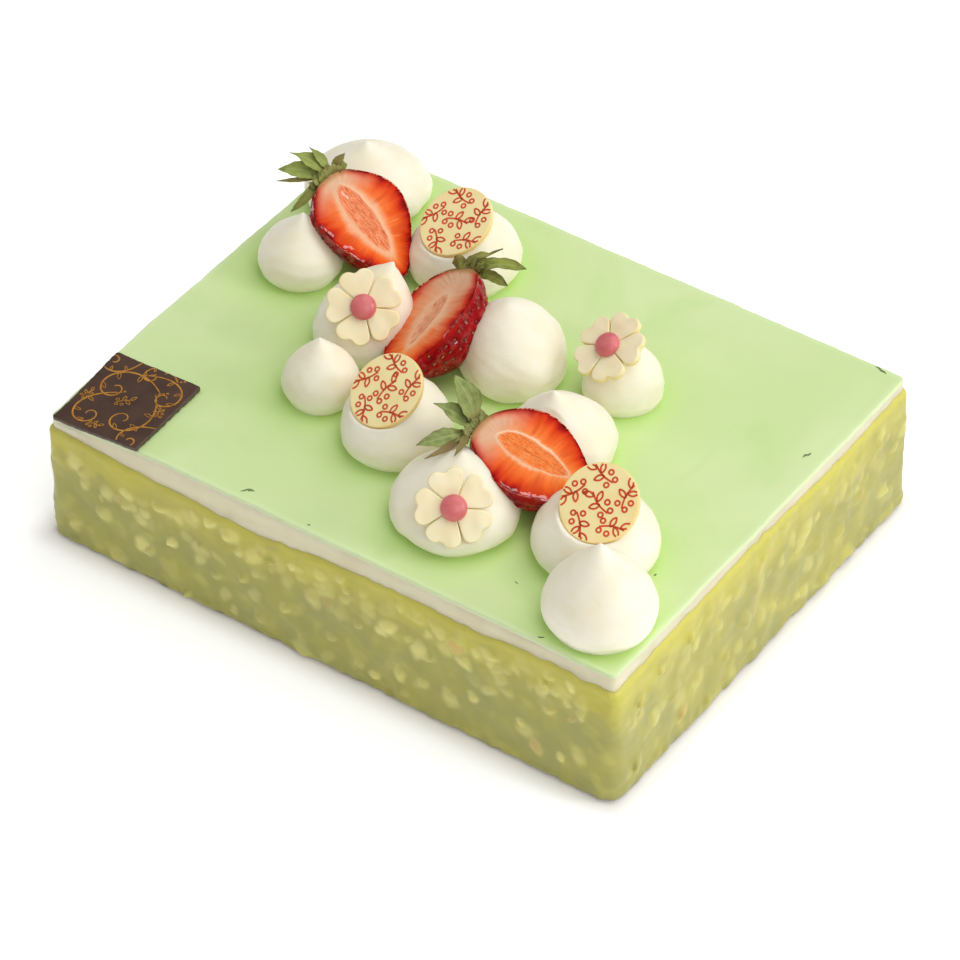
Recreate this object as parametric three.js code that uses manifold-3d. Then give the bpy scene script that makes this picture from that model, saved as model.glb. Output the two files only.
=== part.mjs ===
// A rectangular mousse cake: a nut-coated block with a band of cream and a green glaze on top,
// dressed with piped cream kisses, strawberry halves, flowers, printed discs and a chocolate plaque.
// Millimetres, +Z up. The origin is the centre of the underside. +X runs along a long side, and the
// long side at -Y and the short side at +X are called the front and the right side here.

import * as THREE from "three";
import { mergeVertices } from "three/addons/utils/BufferGeometryUtils.js";
import Module from "manifold-3d";

const wasm = await Module();
wasm.setup();

// ---------------------------------------------------------------- driving dimensions

const GAP = 0.3; // clearance between two pieces that touch

const LENGTH = 215; // of the glazed top, along X
const WIDTH = 167; // of the glazed top, along Y
const HEIGHT = 52.5; // from the underside to the top of the glaze
const GLAZE_THICKNESS = 1.25;
const CORNER_DROOP = 3; // how far the front left corner of the top hangs down
const DROOP_REACH = 30; // distance over which that corner bends down

const COAT_FOOT = 2.7; // how far the nut coating stands out at its foot
const COAT_EDGE = 1.3; // how far it stands out at its upper edge
const COAT_RIPPLE = 0.45; // unevenness of the coated sides
const FOOT_ROUNDING = 3; // rounding between the coated sides and the underside
const COAT_CORNER_FOOT = 6; // radius of the coating's upright corners near the foot
const COAT_CORNER_TOP = 3; // and at its upper edge
const CREAM_CORNER = 2; // radius of the upright corners of the cream and glaze
const RECESS_FLOOR = 39; // height at which the cream layer rests in the coated block
const TOP_SET_BACKS = [10, 22, 40]; // inner rings of the top, which follow the drooping corner

// Height of the bare cream between the glaze and the coating, at even steps along each side.
const BARE_CREAM = {
  front: [7.5, 9.1, 10.2, 11.5, 8.9, 7.5, 8.3, 6.4],
  right: [6.6, 4.9, 4.3, 5.8],
  back: [4.4, 6.2, 7.4, 5.6, 6.8, 6.1],
  left: [6.9, 5.4, 6.6, 7.8],
};

const LONG_STEPS = 22; // faces along a long side
const SHORT_STEPS = 17; // faces along a short side
const CORNER_STEPS = 3; // faces round an upright corner

const NUTS_PER_LONG_SIDE = 36;
const NUTS_PER_SHORT_SIDE = 30;
const NUT_SEED = 4127;
const NUT_HALF_LENGTH = [1.5, 3.2];
const NUT_STANDS_OUT = [0.9, 1.6];
const BIG_NUT = 2.2; // half length above which a piece of nut is rounder
const GOLDEN_SHARE = 0.618; // step that spreads the nuts evenly over the height

const KISS_SIDES = 14;
const KISS_UNEVENNESS = 0.02;
const DISC_RADIUS = 12.7;
const DISC_THICKNESS = 1.7;
const DISC_SIDES = 24;
const FLOWER_RADIUS = 12.4;
const FLOWER_THICKNESS = 2;
const FLOWER_CENTRE_RADIUS = 4.2;
const FLOWER_CENTRE_HEIGHT = 3.4;
const PLAQUE_LENGTH = 33.3;
const PLAQUE_WIDTH = 34.9;
const PLAQUE_THICKNESS = 1.5;
const PRESS_HEADROOM = 7; // cream cleared in front of a topping that is pressed in
const PRESS_SIDES = 14;

const PETALS = 5;
// One petal, as [share of the flower's radius, share of the half angle that it fills].
const PETAL_OUTLINE = [
  [0.34, -0.98], [0.76, -0.95], [0.92, -0.82], [1, -0.45], [0.92, 0], [1, 0.45], [0.92, 0.82], [0.76, 0.95],
];

const LEAF_THICKNESS = 0.7;
const LEAF_FOLD = 0.25; // how far the midrib lies below the edges, as a share of the half width
const LEAF_WAVE = 0.08; // waviness of the edges, as a share of the width
const LEAF_FACES = new THREE.Vector3(0, 0, 1); // the leaves face the same way as the cut face
// Outline of a leaf, as [share of its length, share of its width].
const LEAF_OUTLINE = [[0, 0.45], [0.3, 0.95], [0.65, 0.9], [1, 0.08]];
const CROWN_HALF_SIZE = [1.2, 4.2, 2.2];
const CROWN_MIDDLE = [-1.6, 0, -1.8];

// Piped cream: place on the glaze, largest radius, height, pull of the tip, and how pointed it is.
const KISSES = [
  { name: "kiss_back_left", at: [-87.7, 60.8], radius: 20.8, height: 21.2, pull: [0, 0], point: 0.45 },
  { name: "kiss_left", at: [-84.0, 18.3], radius: 14.6, height: 22.8, pull: [1, 1], point: 0.95 },
  { name: "kiss_back", at: [-39.7, 48.7], radius: 19.0, height: 23.5, pull: [0, 0], point: 0.3 },
  { name: "kiss_flower_left", at: [-45.7, 0.6], radius: 16.8, height: 27.0, pull: [4, 10], point: 0.35 },
  { name: "kiss_front_small", at: [-41.2, -28.5], radius: 12.6, height: 22.9, pull: [0, 0], point: 0.9 },
  { name: "kiss_disc_left", at: [-8.8, -32.5], radius: 18.2, height: 24.0, pull: [0, 2], point: 0.4 },
  { name: "kiss_middle_round", at: [3.0, 15.1], radius: 17.7, height: 25.0, pull: [-3, 2], point: 0 },
  { name: "kiss_right_small", at: [38.2, 24.7], radius: 12.8, height: 22.0, pull: [0, 0], point: 0.2 },
  { name: "kiss_middle_right", at: [37.6, -9.1], radius: 17.4, height: 25.8, pull: [0, 0], point: 0.5 },
  { name: "kiss_flower_front", at: [27.5, -52.1], radius: 20.7, height: 22.5, pull: [-1, 5], point: 0.35 },
  { name: "kiss_disc_right", at: [71.9, -40.4], radius: 20.2, height: 24.5, pull: [0, 0], point: 0.45 },
  { name: "kiss_front_tall", at: [90.1, -65.7], radius: 17.3, height: 31.9, pull: [0, 0], point: 1 },
];

// Outlines of a kiss, as [share of the height, share of the radius].
const ROUND_KISS = [
  [0, 0.88], [0.12, 0.98], [0.25, 1], [0.4, 0.97], [0.55, 0.89], [0.7, 0.74], [0.82, 0.56], [0.93, 0.3],
];
const POINTED_KISS = [
  [0, 0.86], [0.12, 0.97], [0.25, 1], [0.4, 0.93], [0.55, 0.76], [0.7, 0.52], [0.82, 0.31], [0.93, 0.12],
];

// Strawberry halves: the middle of the cut face, the way from the calyx to the tip, and the way the
// cut face looks. The half widths run along the two sides of the cut face, at the berry shares. A
// leaf runs from near the stalk to its tip: along the berry, across it, and out of the cut face.
const STRAWBERRIES = [
  {
    name: "strawberry_left",
    at: [-66.4, 32.0, 17.1],
    axis: [0.826, -0.128, -0.549],
    face: [0.534, -0.132, 0.835],
    length: 40.7,
    depth: 0.96,
    halfWidths: [
      [0, 5.3, 10.0, 14.8, 17.3, 16.9, 14.4, 10.2, 5.8, 2.6, 0],
      [0, 5.8, 10.6, 14.5, 14.9, 14.0, 12.1, 9.6, 6.0, 2.9, 0],
    ],
    leaves: [
      { from: [-1.4, 1.5, -1.5], to: [-11.4, -0.1, 0.3], width: 3.4, bend: 0.6 },
      { from: [-1.4, -0.2, -1.3], to: [-13.7, -5.4, -2.5], width: 5.6, bend: 1.2 },
      { from: [-1.4, -1.6, -1.5], to: [-12.0, -10.5, -6.6], width: 5.8, bend: 1.0 },
      { from: [-1.4, -3.2, -1.9], to: [-9.6, -12.9, -8.7], width: 1.7, bend: 0.5 },
      { from: [-1.4, -3.2, -2.3], to: [1.7, -15.1, -9.1], width: 3.3, bend: 2.6 },
      { from: [-1.4, 3.2, -1.9], to: [-3.1, 8.1, 2.3], width: 3.2, bend: 0.8 },
    ],
  },
  {
    name: "strawberry_middle",
    at: [-21.7, 1.7, 17.7],
    axis: [0.013, -0.951, -0.310],
    face: [-0.483, -0.277, 0.830],
    length: 46.6,
    depth: 1.11,
    halfWidths: [
      [0, 5.7, 9.9, 13.4, 14.6, 14.8, 14.0, 10.9, 6.4, 3.0, 0],
      [0, 6.9, 13.0, 17.0, 17.6, 16.3, 14.0, 10.0, 6.0, 2.9, 0],
    ],
    leaves: [
      { from: [-1.4, -1.5, -2.3], to: [-10.6, 11.6, -11.7], width: 6.6, bend: 1.6 },
      { from: [-1.4, -2.0, -3.0], to: [-4.9, 5.3, -13.8], width: 5.0, bend: 0.8 },
      { from: [-1.4, -2.5, -1.8], to: [-13.0, 3.7, -5.0], width: 2.6, bend: 0.5 },
      { from: [-1.4, -3.1, -1.5], to: [-8.6, 3.3, -2.8], width: 4.8, bend: 2.0 },
      { from: [-1.4, -2.6, -1.3], to: [-1.0, -2.1, 4.4], width: 4.4, bend: 1.0 },
    ],
  },
  {
    name: "strawberry_right",
    at: [44.4, -32.9, 17.3],
    axis: [0.971, 0.052, -0.233],
    face: [0.237, -0.103, 0.966],
    length: 43.4,
    depth: 1.03,
    halfWidths: [
      [0, 5.8, 11.4, 16.0, 17.8, 16.9, 14.1, 9.9, 5.7, 2.7, 0],
      [0, 5.2, 8.8, 11.8, 14.1, 14.6, 12.8, 9.8, 6.0, 2.9, 0],
    ],
    leaves: [
      { from: [-1.4, 0.8, -1.5], to: [-13.9, 4.5, 9.9], width: 7.8, bend: 1.8 },
      { from: [-1.4, -1.0, -1.3], to: [-14.3, -4.0, 3.4], width: 6.8, bend: 1.4 },
      { from: [-1.4, -3.2, -1.7], to: [-10.9, -17.9, -0.7], width: 5.8, bend: 1.4 },
      { from: [-1.4, -3.2, -1.9], to: [-5.6, -21.6, 0.7], width: 2.4, bend: 0.8 },
      { from: [-1.4, -3.2, -1.9], to: [2.1, -17.3, 4.0], width: 2.4, bend: 1.5 },
    ],
  },
];

// Shares of a strawberry's length from the calyx at which its half widths are given.
const BERRY_SHARES = [0, 0.02, 0.1, 0.22, 0.36, 0.5, 0.64, 0.78, 0.9, 0.97, 1];
const BERRY_SIDES = 18;
const BERRY_SWELL = 0.8; // how far the skin stands out past the rim of the cut face, below that rim

const FLOWERS = [
  { name: "flower_left", at: [-39.9, -6.9, 21.2], face: [0.43, -0.61, 0.666], turn: 104 },
  { name: "flower_back", at: [34.2, 22.1, 20.6], face: [-0.232, -0.472, 0.849], turn: 35 },
  { name: "flower_front", at: [35.5, -64.1, 16.6], face: [0.43, -0.61, 0.666], turn: 105 },
];

const DISCS = [
  { name: "disc_back", at: [-41.0, 45.4, 21.2], face: [-0.131, -0.469, 0.872] },
  { name: "disc_left", at: [-10.9, -35.0, 20.6], face: [-0.163, -0.535, 0.829] },
  { name: "disc_right", at: [74.1, -42.6, 22.6], face: [0.0625, -0.603, 0.795] },
];

const PLAQUE_AT = [-89.3, -67.2];
const PLAQUE_TURN = 1.5; // degrees

const COLOURS = {
  coating: 0xb9b464,
  cream: 0xe6dcc0,
  glaze: 0xc6e39d,
  kiss: 0xf3ecd8,
  berry: 0xc8341c,
  leaf: 0x7d8c4a,
  flower: 0xeee2b4,
  flowerCentre: 0xd0707a,
  disc: 0xf0dc9c,
  plaque: 0x4c362c,
};

// ---------------------------------------------------------------- solids

function seededRandom(seed) {
  let state = seed;
  return () => {
    state = (state * 16807) % 2147483647;
    return state / 2147483647;
  };
}

function mix(a, b, share) {
  return a + (b - a) * share;
}

// A closed solid for cutting and joining, with shared corners merged and empty triangles left out.
function solidFrom(geometry) {
  const bare = new THREE.BufferGeometry();
  bare.setAttribute("position", geometry.getAttribute("position"));
  bare.setIndex(geometry.getIndex());
  const merged = mergeVertices(bare, 1e-4);
  const corners = merged.getIndex();
  const triangles = [];
  for (let i = 0; i < corners.count; i += 3) {
    const [a, b, c] = [corners.getX(i), corners.getX(i + 1), corners.getX(i + 2)];
    if (a !== b && b !== c && c !== a) {
      triangles.push(a, b, c);
    }
  }
  const mesh = new wasm.Mesh({
    numProp: 3,
    vertProperties: new Float32Array(merged.getAttribute("position").array),
    triVerts: new Uint32Array(triangles),
  });
  return new wasm.Manifold(mesh);
}

function geometryFrom(solid) {
  const mesh = solid.getMesh();
  const geometry = new THREE.BufferGeometry();
  geometry.setAttribute("position", new THREE.BufferAttribute(new Float32Array(mesh.vertProperties), 3));
  geometry.setIndex(new THREE.BufferAttribute(new Uint32Array(mesh.triVerts), 1));
  return geometry;
}

function subtractAll(geometry, cutters) {
  const solid = cutters.reduce((left, cutter) => left.subtract(solidFrom(cutter)), solidFrom(geometry));
  return geometryFrom(solid);
}

function joinAll(geometries) {
  const solid = geometries.map(solidFrom).reduce((sum, next) => sum.add(next));
  return geometryFrom(solid);
}

// A closed body through rings of equally many points, from its lowest ring to its highest, with a
// fan of triangles over each end.
function loftGeometry(rings) {
  const points = rings.flat();
  const count = rings[0].length;
  const triangles = [];
  for (let row = 0; row < rings.length - 1; row += 1) {
    for (let i = 0; i < count; i += 1) {
      const a = row * count + i;
      const b = row * count + ((i + 1) % count);
      triangles.push(a, b, b + count, a, b + count, a + count);
    }
  }
  const middleOf = (ring) => ring.reduce((sum, p) => sum.add(p), new THREE.Vector3()).divideScalar(count);
  const foot = points.push(middleOf(rings[0])) - 1;
  const head = points.push(middleOf(rings[rings.length - 1])) - 1;
  const last = (rings.length - 1) * count;
  for (let i = 0; i < count; i += 1) {
    const next = (i + 1) % count;
    triangles.push(foot, next, i, head, last + i, last + next);
  }
  const geometry = new THREE.BufferGeometry().setFromPoints(points);
  geometry.setIndex(triangles);
  return geometry;
}

function addMesh(group, name, geometry, colour, roughness = 0.5) {
  geometry.computeVertexNormals();
  const material = new THREE.MeshStandardMaterial({ color: colour, roughness, metalness: 0 });
  const mesh = new THREE.Mesh(geometry, material);
  mesh.name = name;
  group.add(mesh);
  return mesh;
}

// ---------------------------------------------------------------- block, cream and glaze

// The four sides in order round the cake. Each runs along one way and faces outward another way.
const SIDES = [
  { name: "front", along: [1, 0], outward: [0, -1], span: LENGTH, depth: WIDTH, steps: LONG_STEPS },
  { name: "right", along: [0, 1], outward: [1, 0], span: WIDTH, depth: LENGTH, steps: SHORT_STEPS },
  { name: "back", along: [-1, 0], outward: [0, 1], span: LENGTH, depth: WIDTH, steps: LONG_STEPS },
  { name: "left", along: [0, -1], outward: [-1, 0], span: WIDTH, depth: LENGTH, steps: SHORT_STEPS },
];

// Height of the coating's upper edge at a share of the way along a side.
function coatEdge(side, share) {
  const next = SIDES[(SIDES.indexOf(side) + 1) % SIDES.length];
  const values = [...BARE_CREAM[side.name], BARE_CREAM[next.name][0]];
  const place = share * (values.length - 1);
  const step = Math.min(Math.floor(place), values.length - 2);
  const ease = (1 - Math.cos((place - step) * Math.PI)) / 2;
  return HEIGHT - mix(values[step], values[step + 1], ease);
}

// How far the coated side stands out past the edge of the glaze at a height above its foot.
function coatStandsOut(side, share, height) {
  const rise = (height - FOOT_ROUNDING) / (coatEdge(side, share) - FOOT_ROUNDING);
  const wave = Math.sin(share * 9 * Math.PI + height / 7) + Math.sin(share * 23 * Math.PI - height / 5);
  const ripple = (COAT_RIPPLE / 2) * wave * Math.sin(share * Math.PI);
  return mix(COAT_FOOT, COAT_EDGE, Math.max(rise, 0)) + ripple;
}

// A point on a rounded rectangle that stands out past the glaze's edge. The turn runs from 0 on the
// straight part to a quarter turn at the far end of the corner that follows it.
function cakePoint(side, share, turn, radius, standsOut) {
  const along = (2 * share - 1) * (side.span / 2 + standsOut - radius) + radius * Math.sin(turn);
  const outward = side.depth / 2 + standsOut - radius + radius * Math.cos(turn);
  return new THREE.Vector3(
    side.along[0] * along + side.outward[0] * outward,
    side.along[1] * along + side.outward[1] * outward,
    0,
  );
}

// One ring round the cake. The height and the amount it stands out may change along a side.
function cakeRing(sharesOf, radius, standsOut, heightAt) {
  const ring = [];
  for (const side of SIDES) {
    const add = (share, turn) => {
      const point = cakePoint(side, share, turn, radius, standsOut(side, share));
      point.z = heightAt(side, share, point);
      ring.push(point);
    };
    sharesOf(side).forEach((share) => add(share, 0));
    for (let step = 1; step < CORNER_STEPS; step += 1) {
      add(1, (step / CORNER_STEPS) * (Math.PI / 2));
    }
  }
  return ring;
}

function evenShares(side) {
  return Array.from({ length: side.steps + 1 }, (_, step) => step / side.steps);
}

// The cream and glaze need close steps only round the corner that hangs down.
function cornerShares(side) {
  const closeSteps = { front: [0, 0.06, 0.12, 0.19, 0.3, 0.5, 1], left: [0, 0.45, 0.65, 0.78, 0.86, 0.93, 1] };
  return closeSteps[side.name] ?? [0, 1];
}

function cornerDroop(x, y) {
  const distance = Math.hypot(x + LENGTH / 2, y + WIDTH / 2);
  return CORNER_DROOP * Math.exp(-((distance / DROOP_REACH) ** 2));
}

// A ring of the cream or the glaze, set back from the edge and following the drooping corner.
function topRing(height, setBack = 0) {
  return cakeRing(cornerShares, CREAM_CORNER, () => -setBack, (side, share, p) => height - cornerDroop(p.x, p.y));
}

function nutGeometries() {
  const random = seededRandom(NUT_SEED);
  const nuts = [];
  for (const side of SIDES) {
    const count = side.span === LENGTH ? NUTS_PER_LONG_SIDE : NUTS_PER_SHORT_SIDE;
    for (let i = 0; i < count; i += 1) {
      const share = 0.02 + (0.96 * (i + 0.2 + 0.6 * random())) / count;
      const halfLength = mix(...NUT_HALF_LENGTH, random() ** 1.3);
      const halfWidth = halfLength * mix(0.6, 0.95, random());
      const standsOut = mix(...NUT_STANDS_OUT, random());
      const lowest = halfLength + 0.5;
      const highest = coatEdge(side, share) - halfLength - 0.5;
      const height = mix(lowest, highest, (i * GOLDEN_SHARE + 0.25 * random()) % 1);
      const tilt = random() * Math.PI;

      const nut = new THREE.OctahedronGeometry(1, halfLength > BIG_NUT ? 1 : 0);
      nut.scale(halfLength, standsOut, halfWidth);
      nut.rotateY(tilt);
      nut.rotateZ(Math.atan2(side.along[1], side.along[0]));
      const place = cakePoint(side, share, 0, COAT_CORNER_FOOT, coatStandsOut(side, share, height));
      nut.translate(place.x, place.y, height);
      nuts.push(nut);
    }
  }
  return nuts;
}

// The block under the cream: its sides are coated up to a wavy edge, and the coating's rim stands
// round a shallow recess that holds the cream layer.
function coatedBaseGeometry() {
  const ring = (heightAt, radius, inset = 0) =>
    cakeRing(
      evenShares,
      radius,
      (side, share) => coatStandsOut(side, share, heightAt(side, share)) - inset,
      heightAt,
    );
  const below = (drop) => (side, share) => coatEdge(side, share) - drop;
  const level = (height) => () => height;
  const block = loftGeometry([
    ring(level(0), COAT_CORNER_FOOT, FOOT_ROUNDING),
    ring(level(0.3 * FOOT_ROUNDING), COAT_CORNER_FOOT, 0.3 * FOOT_ROUNDING),
    ring(level(FOOT_ROUNDING), COAT_CORNER_FOOT),
    ring(level(14), COAT_CORNER_FOOT),
    ring(level(28), mix(COAT_CORNER_FOOT, COAT_CORNER_TOP, 0.6)),
    ring(below(1.2), COAT_CORNER_TOP),
    ring(below(0), COAT_CORNER_TOP, COAT_EDGE * 0.4),
    ring(below(0.3), CREAM_CORNER, COAT_EDGE),
  ]);
  const recessRing = (height) => cakeRing(cornerShares, CREAM_CORNER + GAP, () => GAP, () => height);
  const recess = loftGeometry([recessRing(RECESS_FLOOR), recessRing(HEIGHT + 10)]);
  return subtractAll(joinAll([block, ...nutGeometries()]), [recess]);
}

function creamLayerGeometry() {
  const top = HEIGHT - GLAZE_THICKNESS - GAP;
  const bottomRing = cakeRing(cornerShares, CREAM_CORNER, () => 0, () => RECESS_FLOOR + GAP);
  return loftGeometry([bottomRing, topRing(top), ...TOP_SET_BACKS.map((setBack) => topRing(top, setBack))]);
}

function glazeGeometry() {
  const underside = HEIGHT - GLAZE_THICKNESS;
  const edgeRounding = 0.5;
  return loftGeometry([
    ...TOP_SET_BACKS.toReversed().map((setBack) => topRing(underside, setBack)),
    topRing(underside),
    topRing(HEIGHT - edgeRounding),
    topRing(HEIGHT, edgeRounding),
    ...TOP_SET_BACKS.map((setBack) => topRing(HEIGHT, setBack)),
  ]);
}

// ---------------------------------------------------------------- toppings

// Position and rotation of a topping whose own Z axis looks along the given face direction. Its own
// X axis lies level, or along the given axis.
function placing(at, face, axis) {
  const z = new THREE.Vector3(...face).normalize();
  const level = new THREE.Vector3(0, 0, 1).cross(z);
  const x = (axis ? new THREE.Vector3(...axis) : level).normalize();
  x.addScaledVector(z, -x.dot(z)).normalize();
  const y = new THREE.Vector3().crossVectors(z, x);
  const matrix = new THREE.Matrix4().makeBasis(x, y, z);
  return matrix.setPosition(at[0], at[1], HEIGHT + at[2]);
}

function place(object, matrix) {
  matrix.decompose(object.position, object.quaternion, object.scale);
  return object;
}

function kissGeometry({ at, radius, height, pull, point }, grow = 0) {
  const outline = ROUND_KISS.map(([share, round], i) => {
    const width = mix(round, POINTED_KISS[i][1], point) * radius + grow;
    return new THREE.Vector2(width, share * (height + grow));
  });
  const geometry = new THREE.LatheGeometry(
    [new THREE.Vector2(0, 0), ...outline, new THREE.Vector2(0, height + grow)],
    KISS_SIDES,
  );
  geometry.rotateX(Math.PI / 2);
  const points = geometry.getAttribute("position");
  for (let i = 0; i < points.count; i += 1) {
    const [x, y, z] = [points.getX(i), points.getY(i), points.getZ(i)];
    const angle = Math.atan2(y, x);
    const uneven = 1 + KISS_UNEVENNESS * Math.sin(2 * angle + at[0]);
    const bend = Math.max(z / height, 0) ** 2.5;
    points.setXY(i, x * uneven + pull[0] * bend, y * uneven + pull[1] * bend);
  }
  return geometry;
}

function berryGeometry({ length, depth, halfWidths }, grow = 0) {
  const [left, right] = halfWidths;
  const outline = BERRY_SHARES.map((share, i) => {
    const radius = (left[i] + right[i]) / 2;
    return new THREE.Vector2(radius && radius + grow, (share - 0.5) * (length + 2 * grow));
  });
  const whole = new THREE.LatheGeometry(outline, BERRY_SIDES);
  whole.rotateZ(-Math.PI / 2);
  const points = whole.getAttribute("position");
  for (let i = 0; i < points.count; i += 1) {
    const row = i % outline.length;
    const radius = outline[row].x;
    if (radius > 0) {
      const [across, out] = [points.getY(i) / radius, points.getZ(i) / radius];
      const lean = (left[row] - right[row]) / (left[row] + right[row]);
      const swell = BERRY_SWELL * THREE.MathUtils.smoothstep(-out, 0, 0.5) * Math.min(radius / 5, 1);
      const reach = radius * (1 + lean * across) + swell;
      points.setY(i, reach * across);
      points.setZ(i, reach * out * depth);
    }
  }
  const upperHalf = new THREE.BoxGeometry(2 * length, 2 * length, length);
  upperHalf.translate(0, 0, length / 2 + grow);
  return subtractAll(whole, [upperHalf]);
}

function leafGeometry({ from, to, width, bend }) {
  const start = new THREE.Vector3(...from);
  const along = new THREE.Vector3(...to).sub(start);
  const length = along.length();
  along.normalize();
  const across = new THREE.Vector3().crossVectors(along, LEAF_FACES).normalize().negate();
  const over = new THREE.Vector3().crossVectors(along, across);
  const rings = LEAF_OUTLINE.map(([share, widthShare]) => {
    const middle = start.clone().addScaledVector(along, share * length);
    middle.addScaledVector(over, bend * Math.sin(share * Math.PI));
    const half = (width / 2) * widthShare;
    const wave = LEAF_WAVE * width * Math.sin(share * 3 * Math.PI);
    const fold = LEAF_FOLD * half;
    const offset = (sideways, upward) =>
      middle.clone().addScaledVector(across, sideways).addScaledVector(over, upward);
    return [
      offset(half, wave),
      offset(0, LEAF_THICKNESS / 2 - fold),
      offset(-half, -wave),
      offset(0, -LEAF_THICKNESS / 2 - fold),
    ];
  });
  return loftGeometry(rings);
}

// Leaves round a thin crown, from the top of a berry.
function calyxGeometry({ leaves }) {
  const crown = new THREE.SphereGeometry(1, 7, 4);
  crown.scale(...CROWN_HALF_SIZE);
  crown.translate(...CROWN_MIDDLE);
  return joinAll([crown, ...leaves.map(leafGeometry)]);
}

function flowerGeometry({ turn }) {
  const petalAngle = (2 * Math.PI) / PETALS;
  const outline = [];
  for (let petal = 0; petal < PETALS; petal += 1) {
    const middle = THREE.MathUtils.degToRad(turn) + petal * petalAngle;
    for (const [radius, share] of PETAL_OUTLINE) {
      const angle = middle + (share * petalAngle) / 2;
      outline.push(new THREE.Vector2(Math.cos(angle), Math.sin(angle)).multiplyScalar(radius * FLOWER_RADIUS));
    }
  }
  const geometry = new THREE.ExtrudeGeometry(new THREE.Shape(outline), {
    depth: FLOWER_THICKNESS,
    bevelEnabled: false,
  });
  geometry.translate(0, 0, -FLOWER_THICKNESS);
  return geometry;
}

function flowerCentreGeometry() {
  const outline = [new THREE.Vector2(0, 0)];
  for (let step = 0; step <= 4; step += 1) {
    const angle = (step / 4) * (Math.PI / 2);
    const radius = step === 4 ? 0 : FLOWER_CENTRE_RADIUS * Math.cos(angle);
    outline.push(new THREE.Vector2(radius, 0.4 + (FLOWER_CENTRE_HEIGHT - 0.4) * Math.sin(angle)));
  }
  outline.splice(1, 0, new THREE.Vector2(0.9 * FLOWER_CENTRE_RADIUS, 0));
  const geometry = new THREE.LatheGeometry(outline, 10);
  geometry.rotateX(Math.PI / 2);
  geometry.translate(0, 0, GAP);
  return geometry;
}

function discGeometry() {
  const geometry = new THREE.CylinderGeometry(DISC_RADIUS, DISC_RADIUS, DISC_THICKNESS, DISC_SIDES);
  geometry.rotateX(Math.PI / 2);
  geometry.translate(0, 0, -DISC_THICKNESS / 2);
  return geometry;
}

// The space that a round topping takes in the cream, with the cream in front of it cleared away.
function pressedSpace(radius, thickness) {
  const height = thickness + GAP + PRESS_HEADROOM;
  const reach = (radius + GAP) / Math.cos(Math.PI / PRESS_SIDES);
  const geometry = new THREE.CylinderGeometry(reach, reach, height, PRESS_SIDES);
  geometry.rotateX(Math.PI / 2);
  geometry.translate(0, 0, PRESS_HEADROOM - height / 2);
  return geometry;
}

function plaqueGeometry() {
  const geometry = new THREE.BoxGeometry(PLAQUE_LENGTH, PLAQUE_WIDTH, PLAQUE_THICKNESS, 5, 5, 1);
  const turn = THREE.MathUtils.degToRad(PLAQUE_TURN);
  const points = geometry.getAttribute("position");
  for (let i = 0; i < points.count; i += 1) {
    const [x, y, z] = [points.getX(i), points.getY(i), points.getZ(i)];
    const cakeX = PLAQUE_AT[0] + x * Math.cos(turn) - y * Math.sin(turn);
    const cakeY = PLAQUE_AT[1] + x * Math.sin(turn) + y * Math.cos(turn);
    points.setZ(i, z - cornerDroop(cakeX, cakeY));
  }
  return geometry;
}

// ---------------------------------------------------------------- the whole cake

function buildCake() {
  const cake = new THREE.Group();
  addMesh(cake, "coated_base", coatedBaseGeometry(), COLOURS.coating, 0.45);
  addMesh(cake, "cream_layer", creamLayerGeometry(), COLOURS.cream, 0.6);
  addMesh(cake, "glaze", glazeGeometry(), COLOURS.glaze, 0.25);

  const pressedIn = [];
  const press = (geometry, matrix) => pressedIn.push(geometry.clone().applyMatrix4(matrix));

  for (const berry of STRAWBERRIES) {
    const matrix = placing(berry.at, berry.face, berry.axis);
    const half = place(new THREE.Group(), matrix);
    addMesh(half, berry.name, berryGeometry(berry), COLOURS.berry, 0.25);
    const calyx = addMesh(half, berry.name.replace("strawberry", "calyx"), calyxGeometry(berry), COLOURS.leaf, 0.7);
    calyx.position.x = -berry.length / 2;
    cake.add(half);
    press(berryGeometry(berry, GAP), matrix);
  }

  for (const flower of FLOWERS) {
    const matrix = placing(flower.at, flower.face);
    const whole = place(new THREE.Group(), matrix);
    addMesh(whole, flower.name, flowerGeometry(flower), COLOURS.flower, 0.5);
    const centreName = flower.name.replace("flower", "flower_centre");
    addMesh(whole, centreName, flowerCentreGeometry(), COLOURS.flowerCentre, 0.4);
    cake.add(whole);
    press(pressedSpace(FLOWER_RADIUS, FLOWER_THICKNESS), matrix);
  }

  for (const disc of DISCS) {
    const matrix = placing(disc.at, disc.face);
    place(addMesh(cake, disc.name, discGeometry(), COLOURS.disc, 0.4), matrix);
    press(pressedSpace(DISC_RADIUS, DISC_THICKNESS), matrix);
  }

  KISSES.forEach((kiss, index) => {
    const [x, y] = kiss.at;
    const neighbours = KISSES.slice(index + 1).map((other) =>
      kissGeometry(other, GAP).translate(other.at[0] - x, other.at[1] - y, 0),
    );
    const toppings = pressedIn.map((geometry) => geometry.clone().translate(-x, -y, -HEIGHT));
    const geometry = subtractAll(kissGeometry(kiss), [...neighbours, ...toppings]);
    addMesh(cake, kiss.name, geometry, COLOURS.kiss, 0.5).position.set(x, y, HEIGHT);
  });

  const plaque = addMesh(cake, "chocolate_plaque", plaqueGeometry(), COLOURS.plaque, 0.35);
  plaque.position.set(...PLAQUE_AT, HEIGHT + GAP + PLAQUE_THICKNESS / 2);
  plaque.rotation.z = THREE.MathUtils.degToRad(PLAQUE_TURN);
  return cake;
}

export default buildCake();
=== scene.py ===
"""The looks of a rectangular mousse cake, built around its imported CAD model.

Lengths are millimetres until a mesh is made. +Z is up, +X runs along a long side, and the long side
at -Y and the short side at +X are called the front and the right side.
"""

import math

import bmesh
import bpy
import numpy as np
from mathutils import Matrix, Vector


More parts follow.
